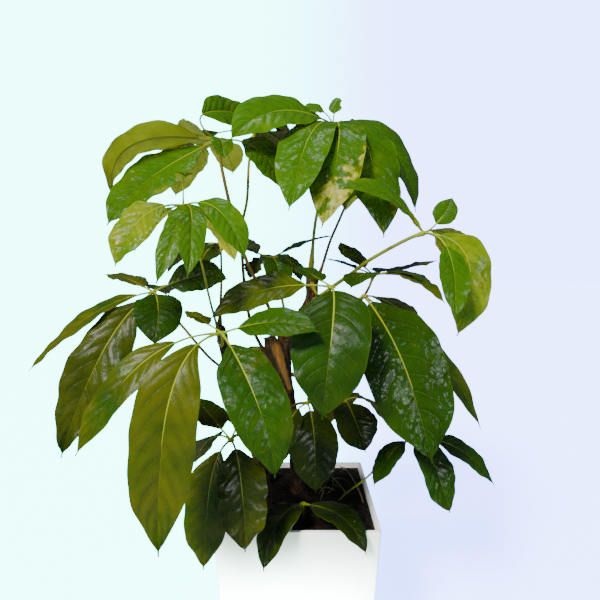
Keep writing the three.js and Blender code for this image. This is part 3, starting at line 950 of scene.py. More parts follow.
@dataclass(frozen=True)
class Leaflet:
    """One blade on its short stalk, from the hub to its tip.

    tip, width and stalk are its sizes. rise is how far its arch climbs first, reach the share of
    the way out at which it turns down, roll how many degrees it leans over, and bow how far it
    swings sideways. All blades share the rest: the fold along the midrib and how it eases
    outwards, the thickness, the least width, the height of waves, cushions and sideways sway as
    shares of the width, and the width from which a blade gets a finer mesh.
    """

    tip: Point
    width: float
    rise: float = 0.0
    reach: float = 0.6
    roll: float = 0.0
    bow: float = 0.0
    stalk: float = 20.0
    look: Look = Look.PLAIN

    fold: ClassVar[float] = math.sin(math.radians(14))
    droop: ClassVar[float] = 0.18
    thick: ClassVar[float] = 0.55 * MM
    narrowest: ClassVar[float] = 1.2 * MM
    waviness: ClassVar[float] = 0.035
    quilting: ClassVar[float] = 0.007
    swaying: ClassVar[float] = 0.012
    broad_from: ClassVar[float] = 38.0

    def path(self, hub: Point) -> Path:
        """The arched midrib, from the hub to the tip."""
        start = np.array(hub, float)
        tip = np.array(self.tip, float)
        turn = start + (tip - start) * self.reach
        turn[2] = start[2] + self.rise
        return Path.arch(start * MM, (turn + self.level(hub) * self.bow) * MM, tip * MM)

    def level(self, hub: Point) -> np.ndarray:
        """The level direction square to the leaflet's own."""
        away = np.array([self.tip[0] - hub[0], self.tip[1] - hub[1], 0.0])
        away /= np.linalg.norm(away)
        return np.array([away[1], -away[0], 0.0])

    def outline(self, share: np.ndarray) -> np.ndarray:
        """Half the blade's width in metres at shares of its length."""
        share = np.clip(share, 0, 1)
        reached = np.minimum(share / 0.96, 1.0)
        oval = np.sqrt(4 * reached * (1 - reached)) * (1.08 - 0.16 * share)
        drawn_base = 0.55 + 0.45 * smoothstep(0, 0.22, share)
        drawn = oval * drawn_base * (1 - 0.4 * smoothstep(0.72, 0.97, share))
        drip_tip = 0.13 * np.clip((1 - share) / 0.12, 0, 1) * smoothstep(0.5, 0.8, share)
        shape = np.cbrt(drawn**3 + drip_tip**3)
        return np.maximum(shape * self.width * MM, self.narrowest) / 2

    def facing(
        self, forward: np.ndarray, hub: Point, lean: np.ndarray
    ) -> tuple[np.ndarray, np.ndarray]:
        """The directions across the blade and out of its upper face.

        Args:
            forward: Tangents of the midrib, one row each.
            hub: Where the leaflet starts.
            lean: How far the blade leans over there, in radians.

        Returns:
            Two arrays of unit vectors.
        """
        up = unit(np.cross(self.level(hub)[None, :], forward))
        across = np.cross(forward, up)
        cosine, sine = np.cos(lean)[:, None], np.sin(lean)[:, None]
        return across * cosine + up * sine, up * cosine - across * sine

    def blade(self, hub: Point, name: str) -> bpy.types.Object:
        """The blade as one sheet, with its folds, waves and quilted relief.

        Args:
            hub: Where the leaflet starts, in millimetres.
            name: The new object's name, which also seeds its irregularities.

        Returns:
            The sheet, with the attributes that its finish reads.
        """
        draw = random.Random(name)
        look = self.look.value
        detail = Detail.BROAD if self.width > self.broad_from else Detail.NARROW
        sheet = copied(blade_template(detail), name)
        column, share = corners(sheet)[:, 0], (corners(sheet)[:, 1] + 1) / 2
        midrib = self.path(hub)
        stalk_share = self.stalk * MM / midrib.length
        middle, forward, _ = midrib.at(stalk_share + (1 - stalk_share) * share)
        length = midrib.length - self.stalk * MM

        out = np.abs(column)
        side = np.sign(column)
        turns = [draw.uniform(0, 2 * math.pi) for _ in range(6)]
        waves = 2 * math.pi * (2.3 * share + turns[0]) + side * turns[1]
        half = self.outline(share) * (1 + 0.008 * np.sin(2.3 * waves + turns[2]))
        twist = math.radians(draw.uniform(-9, 9)) * (share - 0.4)
        lean = math.radians(self.roll) + twist
        across, face = self.facing(forward, hub, lean)

        crease = np.sqrt(out**2 + 0.0016) - 0.04
        height = half * crease * (self.fold - self.droop * out)
        ripple = look.wave * self.width * MM * self.waviness
        fade = smoothstep(0.0, 0.2, share) * smoothstep(1.0, 0.85, share)
        height += ripple * fade * out**2 * np.sin(waves)
        height += ripple * 0.45 * fade * out**2 * np.sin(2.7 * waves + turns[3])
        climbed = share - VEIN_SLANT * out - VEIN_ARCH * out**2
        between = np.sin(math.pi * (climbed * VEIN_PAIRS + 0.25 * side)) ** 2
        quilt = self.quilting * self.width * MM * smoothstep(0.03, 0.25, out)
        quilt *= smoothstep(1.0, 0.7, out)
        height += quilt * between * smoothstep(0.0, 0.1, share)
        height -= 0.4 * MM * np.exp(-((out * half / (1.1 * MM)) ** 2)) * smoothstep(0, 0.1, share)
        sway = self.swaying * self.width * MM * np.sin(2 * math.pi * 0.9 * share + turns[4]) * fade
        aside = column * half + sway
        places = middle + across * aside[:, None] + face * height[:, None]
        move_corners(sheet, places)

        seed = draw.uniform(0, 5)
        write_attribute(sheet, "leaf_place", np.stack([column, share, 0 * share], axis=1))
        skin = np.stack([column * half, share * length, np.full_like(share, seed)], axis=1)
        write_attribute(sheet, "leaf_skin", skin)
        traits = np.array([look.light, look.bleach, look.bronze])
        write_attribute(sheet, "leaf_traits", np.tile(traits, (len(share), 1)))
        write_attribute(sheet, "leaf_crinkle", np.full(len(share), look.crinkle))
        reached = share - 0.2 * column
        spread = smoothstep(look.sound, look.sound + 0.25, reached) if look.sound else 1 + 0 * share
        write_attribute(sheet, "leaf_withered", look.withered * spread)
        return sheet

    def stem(self, hub: Point, name: str) -> bpy.types.Object:
        """The leaflet's stalk, which runs on under the blade as its raised midrib."""
        midrib = self.path(hub)
        stalk_share = min(self.stalk * MM / midrib.length, 0.9)
        end = stalk_share + (1 - stalk_share) * 0.93
        shares = np.linspace(0, end, 60)
        points, forward, _ = midrib.at(shares)
        _, face = self.facing(forward, hub, np.full(len(shares), math.radians(self.roll)))
        sunk = smoothstep(stalk_share * 0.7, stalk_share * 1.2, shares)
        under = Path(points - face * (sunk * 0.75 * MM)[:, None])
        thick = (0.75 + 0.009 * self.width) * MM

        def radius_at(share: np.ndarray, angle: np.ndarray) -> np.ndarray:
            """Thicker at the hub and where the blade starts, then thinning out."""
            reached = share * end
            foot = 0.45 * (1 - smoothstep(0.0, stalk_share * 0.5, reached))
            thin = 1 - 0.72 * smoothstep(stalk_share, 1.0, reached)
            return thick * (thin + foot)

        stem = bend_rod(name, under, radius_at, 8, 24)
        write_attribute(stem, "fresh", np.ones(len(stem.data.vertices)))
        return stem


@dataclass(frozen=True)
class Frond:
    """A compound leaf: a long stalk, the hub at its end and a whorl of leaflets."""

    name: str
    hub: Point
    petiole: tuple[Point, ...]
    leaflets: tuple[Leaflet, ...]
    tone: LeafTone = LeafTone.MATURE
    stalk: StalkTone = StalkTone.BROWN
    radius: float = 2.0

    def build(self) -> None:
        """Makes the frond's blades and its stalks."""
        self.build_blades()
        self.build_stalks()

    def build_blades(self) -> None:
        """All the frond's blades as one piece, with a wall's thickness."""
        sheets = [
            leaflet.blade(self.hub, f"{self.name}_blade_{index}")
            for index, leaflet in enumerate(self.leaflets)
        ]
        blades = joined(sheets, f"{self.name}_blades")
        materials = [leaf_material(self.tone, side) for side in (0, 1)]
        for material in materials:
            blades.data.materials.append(material)
        wall = blades.modifiers.new("wall", "SOLIDIFY")
        wall.thickness = Leaflet.thick
        wall.offset = 0.0
        wall.material_offset = 1
        activate(blades)
        bpy.ops.object.modifier_apply(modifier=wall.name)
        smooth(blades, 50)
        finish_piece(blades, [f"{self.name}_leaflets"], materials)

    def build_stalks(self) -> None:
        """The long stalk, its hub and the leaflets' own stalks as one piece."""
        line = Path.through((*self.petiole, self.hub))
        swell = 0.5 * self.radius * MM

        def radius_at(share: np.ndarray, angle: np.ndarray) -> np.ndarray:
            """Thicker where it leaves the cane and again under the hub."""
            foot = 1.6 * swell * (1 - smoothstep(0.05, 0.22, share))
            top = swell * smoothstep(0.93, 1.0, share)
            return self.radius * MM * (1.06 - 0.2 * share) + foot + top

        long_stalk = bend_rod(f"{self.name}_long_stalk", line, radius_at, 12, 48)
        share = attribute_values(long_stalk, "along")
        write_attribute(long_stalk, "fresh", 0.8 * smoothstep(0.82, 1.0, share))
        parts = [long_stalk, self.knob()]
        for index, leaflet in enumerate(self.leaflets):
            parts.append(leaflet.stem(self.hub, f"{self.name}_stem_{index}"))
        stalks = joined(parts, f"{self.name}_stalks")
        smooth(stalks, 60)
        material = stalk_material(self.stalk)
        finish_piece(stalks, [f"{self.name}_petiole"], [material])

    def knob(self) -> bpy.types.Object:
        """The lumpy knob that the leaflets grow from."""
        deselect()
        bpy.ops.mesh.primitive_ico_sphere_add(subdivisions=3, radius=1)
        knob = bpy.context.object
        places = corners(knob)
        lumps = np.array([noise.noise(Vector(place * 1.7) + Vector(self.hub)) for place in places])
        places = places * (1 + 0.25 * lumps)[:, None] * np.array([1.0, 1.0, 0.7])
        move_corners(knob, np.array(self.hub) * MM + places * 3.9 * MM)
        write_attribute(knob, "along", np.ones(len(places)))
        write_attribute(knob, "fresh", np.full(len(places), 0.8))
        return knob


@cache
def leaf_material(tone: LeafTone, side: int) -> bpy.types.Material:
    """The material of a blade's upper face (0) or underside (1)."""
    return LEAF_FINISHES[tone][side].material()


@cache
def stalk_material(tone: StalkTone) -> bpy.types.Material:
    """The material of green or brown stalks."""
    return STALK_FINISHES[tone].material()


@dataclass(frozen=True)
class Cane:
    """A woody cane: rings of old leaf scars, swellings and rough bark."""

    name: str
    points: tuple[Point, ...]
    foot: float
    top: float
    scars: int
    flap: "BarkFlap | None" = None

    def build(self, material: bpy.types.Material) -> None:
        """Makes the cane and dresses it."""
        path = Path.through(self.points)

        def radius_at(share: np.ndarray, angle: np.ndarray) -> np.ndarray:
            """Thinner upwards, with a lip at each scar and a rough skin."""
            plain = self.foot + (self.top - self.foot) * share
            ring = share * self.scars + 0.06 * np.sin(angle + 5 * share)
            lip = np.exp(-(((ring % 1.0) - 0.5) ** 2) / 0.004)
            rows = np.stack([2 * np.cos(angle), 2 * np.sin(angle), 26 * share], axis=1)
            skin = np.array([noise.noise(Vector(row)) for row in rows])
            dome = np.sqrt(np.clip((1 - share) * 60, 0, 1))
            return MM * (plain * (0.97 + 0.07 * skin) + 1.1 * lip) * (0.25 + 0.75 * dome)

        cane = bend_rod(self.name, path, radius_at, 24, 150)
        write_attribute(cane, "bare", np.zeros(len(cane.data.vertices)))
        parts = [cane] + ([self.flap.strip()] if self.flap else [])
        cane = joined(parts, f"{self.name}_bark")
        smooth(cane, 60)
        finish_piece(cane, [self.name], [material])


@dataclass(frozen=True)
class BarkFlap:
    """A strip of bark that has peeled away from the trunk and shows its orange-brown inside."""

    points: tuple[Point, ...]
    width: float
    thick: float

    def strip(self) -> bpy.types.Object:
        """The curled strip, with its inner face marked bare."""
        path = Path.through(self.points)
        strip = copied(blade_template(Detail.NARROW), "bark_flap")
        column, share = corners(strip)[:, 0], (corners(strip)[:, 1] + 1) / 2
        points, forward, _ = path.at(share)
        face = unit(np.cross(forward, np.cross(np.array([0.0, -1.0, 0.25]), forward)))
        across = np.cross(forward, face)
        ragged = np.array([noise.noise(Vector((3 * c, 9 * s, 4.0))) for c, s in zip(column, share)])
        half = 0.5 * self.width * MM * (0.45 + 0.75 * share - 0.45 * smoothstep(0.75, 1.0, share))
        half *= 1 + 0.3 * ragged
        curl = column * 1.15
        places = points + across * (np.sin(curl) * half)[:, None]
        places = places + face * ((np.cos(curl) - 1) * half + 0.8 * MM * ragged)[:, None]
        move_corners(strip, places)
        write_attribute(strip, "along", share)
        bare = smoothstep(-0.35, 0.05, column) * smoothstep(0.9, 0.5, column)
        bare *= smoothstep(0.95, 0.7, share)
        write_attribute(strip, "bare", bare)
        wall = strip.modifiers.new("wall", "SOLIDIFY")
        wall.thickness = self.thick * MM
        wall.offset = 0.0
        activate(strip)
        bpy.ops.object.modifier_apply(modifier=wall.name)
        return strip


@dataclass(frozen=True)
class Pot:
    """The tapered square pot, its rim and corners rounded."""

    top: float = 200.0
    height: float = 200.0
    taper: float = 15.0
    wall: float = 4.5
    floor: float = 8.0
    corner: float = 3.0
    edge: float = 0.8

    def build(self) -> None:
        """Makes the pot from a block: tapered, rounded, and hollowed from its top face."""
        deselect()
        bpy.ops.mesh.primitive_cube_add(size=1, location=(0, 0, 0))
        pot = bpy.context.object
        places = corners(pot)
        high = places[:, 2] > 0
        side = np.where(high, self.top, self.top - 2 * self.taper)
        shaped = places * np.stack([side, side, np.full(len(side), self.height)], axis=1)
        shaped[:, 2] += self.height / 2
        move_corners(pot, shaped * MM)
        self.round_corners(pot)
        self.hollow(pot)
        self.round_edges(pot)
        smooth(pot, 35)
        finish_piece(pot, ["pot"], [GLAZE.material()])

    def round_corners(self, pot: bpy.types.Object) -> None:
        """Rounds the four upright edges."""

        def upright(edge: bpy.types.MeshEdge) -> bool:
            """Whether an edge runs from the foot to the rim."""
            first, second = (pot.data.vertices[index].co.z for index in edge.vertices)
            return abs(first - second) > 0.5 * self.height * MM

        edit_selected(pot, "EDGE", upright)
        bpy.ops.mesh.bevel(offset=self.corner * MM, offset_type="OFFSET", segments=6)
        bpy.ops.object.mode_set(mode="OBJECT")

    def hollow(self, pot: bpy.types.Object) -> None:
        """Insets the top face by the wall and sinks it to the floor."""
        edit_selected(pot, "FACE", lambda face: face.normal.z > 0.9)
        bpy.ops.mesh.inset(thickness=self.wall * MM)
        depth = self.height - self.floor
        bpy.ops.mesh.extrude_region_move(TRANSFORM_OT_translate={"value": (0, 0, -depth * MM)})
        rim = self.top - 2 * self.wall
        shrink = (rim - 2 * self.taper * depth / self.height) / rim
        bpy.ops.transform.resize(value=(shrink, shrink, 1), center_override=(0, 0, self.floor * MM))
        bpy.ops.object.mode_set(mode="OBJECT")

    def round_edges(self, pot: bpy.types.Object) -> None:
        """Rounds the rim's and the foot's edges."""
        bevel = pot.modifiers.new("edges", "BEVEL")
        bevel.width = self.edge * MM
        bevel.segments = 4
        bevel.limit_method = "ANGLE"
        bevel.angle_limit = math.radians(50)
        activate(pot)
        bpy.ops.object.modifier_apply(modifier=bevel.name)


@dataclass(frozen=True)
class Soil:
    """The potting soil: a low rough mound that fills the pot, strewn with crumbs."""

    pot: Pot
    level: float = 197.0
    mound: float = 3.0
    gap: float = 0.3
    crumbs: int = 420

    def side(self, height: float) -> float:
        """The soil's width at a height, in millimetres."""
        pot = self.pot
        return pot.top - 2 * pot.taper * (1 - height / pot.height) - 2 * (pot.wall + self.gap)

    def surface(self, x: float, y: float) -> float:
        """The soil's height in metres at a place in metres."""
        share = max(abs(x), abs(y)) / (0.5 * self.side(self.level) * MM)
        lumps = noise.fractal(Vector((x, y, 0.0)) * 70, 0.9, 2.0, 4) * 2.6
        fine = noise.noise(Vector((x, y, 0.3)) * 330) * 0.7
        calm = float(smoothstep(1.0, 0.93, np.array(share)))
        return (self.level - self.mound * share * share + (lumps + fine) * calm - 1.0) * MM

    def build(self) -> None:
        """Makes the body of soil and its crumbs as one piece."""
        soil = joined([self.body(), *self.scattered()], "soil_surface")
        smooth(soil, 70)
        finish_piece(soil, ["soil"], [SOIL.material()])

    def body(self) -> bpy.types.Object:
        """A fine grid shaped as the surface, with its edge drawn down to the pot's floor."""
        deselect()
        half = 0.5 * self.side(self.level - self.mound) * MM
        bpy.ops.mesh.primitive_grid_add(x_subdivisions=130, y_subdivisions=130, size=2 * half)
        body = bpy.context.object
        places = corners(body)
        places[:, 2] = [self.surface(x, y) for x, y, _ in places]
        move_corners(body, places)
        bpy.ops.object.mode_set(mode="EDIT")
        bpy.ops.mesh.select_all(action="SELECT")
        bpy.ops.mesh.region_to_loop()
        bpy.ops.mesh.extrude_edges_move()
        floor = self.pot.floor + self.gap
        shrink = self.side(floor) / self.side(self.level - self.mound)
        bpy.ops.transform.resize(value=(shrink, shrink, 0), center_override=(0, 0, floor * MM))
        bpy.ops.mesh.edge_face_add()
        bpy.ops.mesh.select_all(action="SELECT")
        bpy.ops.mesh.normals_make_consistent(inside=False)
        bpy.ops.object.mode_set(mode="OBJECT")
        return body

    def scattered(self) -> list[bpy.types.Object]:
        """Crumbs of soil, half sunk in the surface."""
        draw = random.Random("crumbs")
        deselect()
        bpy.ops.mesh.primitive_ico_sphere_add(subdivisions=1, radius=1)
        template = put_away(bpy.context.object, "crumb")
        found = []
        for index in range(self.crumbs):
            reach = 0.46 * self.side(self.level) * MM
            x, y = draw.uniform(-reach, reach), draw.uniform(-reach, reach)
            size = draw.uniform(0.8, 2.4) ** 1.3 * MM
            crumb = copied(template, f"crumb_{index}")
            stretch = np.array([draw.uniform(0.7, 1.4), draw.uniform(0.7, 1.4), draw.uniform(0.5, 0.9)])
            shift = Vector((draw.uniform(0, 9), 0, 0))
            lumps = [1 + 0.5 * noise.noise(Vector(place) + shift) for place in corners(crumb)]
            places = corners(crumb) * np.array(lumps)[:, None] * stretch * size
            move_corners(crumb, places + np.array([x, y, self.surface(x, y)]))
            found.append(crumb)
        return found


@dataclass(frozen=True)
class DryStub:
    """An old dry stalk that still stands in the soil, broken off at its top."""

    name: str
    points: tuple[Point, ...]
    litter: int = 0
    radius: float = 1.0

    def build(self, material: bpy.types.Material) -> None:
        """Makes the stub, with the dry litter round it, and dresses it."""

        def radius_at(share: np.ndarray, angle: np.ndarray) -> np.ndarray:
            """Dented along its sides and frayed to a point."""
            dents = 1 + 0.14 * np.sin(3 * angle + 7 * share) + 0.1 * np.sin(23 * share)
            return self.radius * MM * dents * (1 - 0.6 * smoothstep(0.85, 1.0, share))

        stub = bend_rod(f"{self.name}_stalk", Path.through(self.points), radius_at, 10, 40)
        straw = joined([stub, *self.strands()], f"{self.name}_straw")
        smooth(straw, 60)
        finish_piece(straw, [self.name], [material])

    def strands(self) -> list[bpy.types.Object]:
        """Thin curved strands that lie on the soil where the stub lies."""
        draw = random.Random(self.name)
        found = []
        for index in range(self.litter):
            x, y = draw.uniform(30, 66), draw.uniform(-4, 60)
            turn = draw.uniform(0.9, 2.6)
            reach = draw.uniform(9, 20)
            swing = draw.uniform(-5, 5)
            away = np.array([math.cos(turn), math.sin(turn), 0.0])
            aside = np.array([-away[1], away[0], 0.0]) * swing
            middle = np.array([x, y, 199.0 + draw.uniform(0, 4)])
            ends = [middle - away * reach, middle + away * reach]
            for end in ends:
                end[2] = draw.uniform(196.5, 200.0)
            path = Path.through((tuple(ends[0]), tuple(middle + aside), tuple(ends[1])))

            def radius_at(share: np.ndarray, angle: np.ndarray) -> np.ndarray:
                """Thinning towards both ends."""
                return 0.45 * MM * (0.35 + 0.65 * np.sin(math.pi * share))

            found.append(bend_rod(f"{self.name}_strand_{index}", path, radius_at, 5, 14))
        return found


PLANT_MIDDLE = (0, 0, 0.45)


@dataclass(frozen=True)
class Softbox:
    """A rectangular soft light that looks at the plant's middle."""

    name: str
    place: Point
    size: tuple[float, float]
    watts: float
    colour: Point
    sheen_only: bool = False

    def build(self) -> bpy.types.Object:
        """Makes the lamp."""
        deselect()
        bpy.ops.object.light_add(type="AREA", location=self.place)
        lamp = bpy.context.object
        lamp.name = self.name
        lamp.data.shape = "RECTANGLE"
        lamp.data.size, lamp.data.size_y = self.size
        lamp.data.energy = self.watts
        lamp.data.color = self.colour
        lamp.visible_diffuse = not self.sheen_only
        aim = Vector(PLANT_MIDDLE) - Vector(self.place)
        lamp.rotation_euler = aim.to_track_quat("-Z", "Y").to_euler()
        return lamp


SOFTBOXES = (
    Softbox("window", (-1.2, -1.1, 1.5), (0.4, 0.6), 8.5, (1.0, 0.99, 0.96)),
    Softbox("front_fill", (1.4, -1.5, 0.9), (0.4, 0.6), 5.0, (0.93, 0.95, 1.0)),
    Softbox("high_sheen", (-0.3, 0.1, 2.4), (0.45, 0.45), 2.5, (0.9, 1.0, 1.0), sheen_only=True),
    Softbox("front_sheen", (-0.6, -1.4, 1.9), (0.6, 0.4), 2.5, (0.9, 1.0, 1.0), sheen_only=True),
)
POT_FILL = Softbox("pot_fill", (-0.05, -1.1, 0.05), (0.3, 0.12), 5.0, (0.7, 1.0, 0.97))


@dataclass(frozen=True)
class Studio:
    """The pale floor and sky, the soft lights and the camera at the photograph's angle."""

    eye: Point = (3.5, -640.0, 514.0)
    pitch: float = -4.25
    focal_pixels: float = 478.0
    frame_pixels: float = 600.0
    sensor: float = 36.0
    sky: tuple = ((0.2, 1.2, 1.1, 1), (0.42, 0.85, 1.0, 1), (0.3, 0.4, 1.0, 1))
    sky_light: tuple = (0.66, 0.88, 0.97, 1)
    sky_glow: float = 10.0
    sky_diffuse: float = 0.38
    sky_sheen: float = 0.08
    sun_strength: float = 11.2
    sun_angle: float = 14.0

    def build(self) -> None:
        """Makes the floor, the lights, the sky and the camera."""
        self.add_floor()
        self.add_sky()
        self.add_sun()
        for softbox in SOFTBOXES:
            softbox.build()
        self.add_pot_fill()
        self.add_camera()

    def add_floor(self) -> None:
        """A wide floor that carries the pot."""
        deselect()
        bpy.ops.mesh.primitive_circle_add(vertices=96, radius=14, fill_type="NGON")
        floor = bpy.context.object
        floor.name = "floor"
        floor.data.materials.append(FLOOR.material())
        floor.visible_glossy = False

    def add_sky(self) -> None:
        """A sky that the camera sees as a pale room, and that lights the plant from all round.

        It leaves hardly any sheen on the blades.
        """
        world = bpy.data.worlds.new("pale_room")
        world.use_nodes = True
        graph = Graph(world.node_tree)
        background = world.node_tree.nodes["Background"]
        way = graph.node("ShaderNodeSeparateXYZ")
        graph.feed(way.inputs[0], graph.node("ShaderNodeTexCoord").outputs["Generated"])
        tint = room_tint(graph, way.outputs["X"], way.outputs["Y"], self.sky)
        rays = graph.node("ShaderNodeLightPath").outputs
        graph.feed(background.inputs["Color"], graph.blend(rays["Is Camera Ray"], self.sky_light, tint))
        seen = graph.times(rays["Is Camera Ray"], self.sky_glow)
        lit = graph.times(rays["Is Diffuse Ray"], self.sky_diffuse)
        mirrored = graph.times(rays["Is Glossy Ray"], self.sky_sheen)
        graph.feed(background.inputs["Strength"], graph.plus(graph.plus(seen, lit), mirrored))
        bpy.context.scene.world = world

    def add_sun(self) -> None:
        """Wide soft daylight from the upper left, which reaches all of the floor."""
        deselect()
        bpy.ops.object.light_add(type="SUN", location=(-1.0, -1.0, 2.0))
        sun = bpy.context.object
        sun.name = "daylight"
        sun.data.energy = self.sun_strength
        sun.data.angle = math.radians(self.sun_angle)
        sun.data.color = (1.0, 0.99, 0.95)
        sun.visible_glossy = False
        sun.rotation_euler = Vector((0.55, 0.85, -0.9)).to_track_quat("-Z", "Y").to_euler()

    def add_pot_fill(self) -> None:
        """A narrow level beam for the pot's front alone, which leaves no sheen."""
        lamp = POT_FILL.build()
        lamp.rotation_euler = (math.radians(90), 0, 0)
        lamp.data.spread = math.radians(11)
        lamp.visible_glossy = False

    def add_camera(self) -> None:
        """The camera, with the photograph's place, pitch and field of view."""
        deselect()
        bpy.ops.object.camera_add(location=Vector(self.eye) * MM)
        camera = bpy.context.object
        camera.rotation_euler = (math.radians(90 + self.pitch), 0, 0)
        camera.data.sensor_width = self.sensor
        camera.data.lens = self.sensor * self.focal_pixels / self.frame_pixels
        bpy.context.scene.camera = camera


CANES = (
    Cane(
        name="trunk",
        points=(
            (0, 6, 70),
            (0, 12, 197),
            (-3, 24, 262),
            (-17, 28, 355),
            (-16, 27, 400),
            (4, 25, 438),
            (19, 24, 466),
            (19, 22, 508),
        ),
        foot=11.5,
        top=8.5,
        scars=11,
        flap=BarkFlap(
            points=((-12, 20, 338), (-19, 12, 362), (-29, 10, 390), (-39, 10, 416)), width=24, thick=1.2
        ),
    ),
    Cane(
        name="second_cane",
        points=((-44, 36, 80), (-46, 36, 185), (-64, 31, 260), (-90, 18, 350), (-107, 10, 432)),
        foot=9.0,
        top=7.5,
        scars=9,
    ),
)
DRY_STUBS = (
    DryStub("dry_stub_1", ((66, 6, 176), (65, 9, 197), (42, 50, 206)), litter=16),
    DryStub("dry_stub_2", ((88, -19, 176), (88, -17, 196), (77, 13, 214), (68, 58, 212))),
    DryStub("dry_stub_3", ((80, 58, 176), (79, 60, 197), (64, 82, 203))),
)
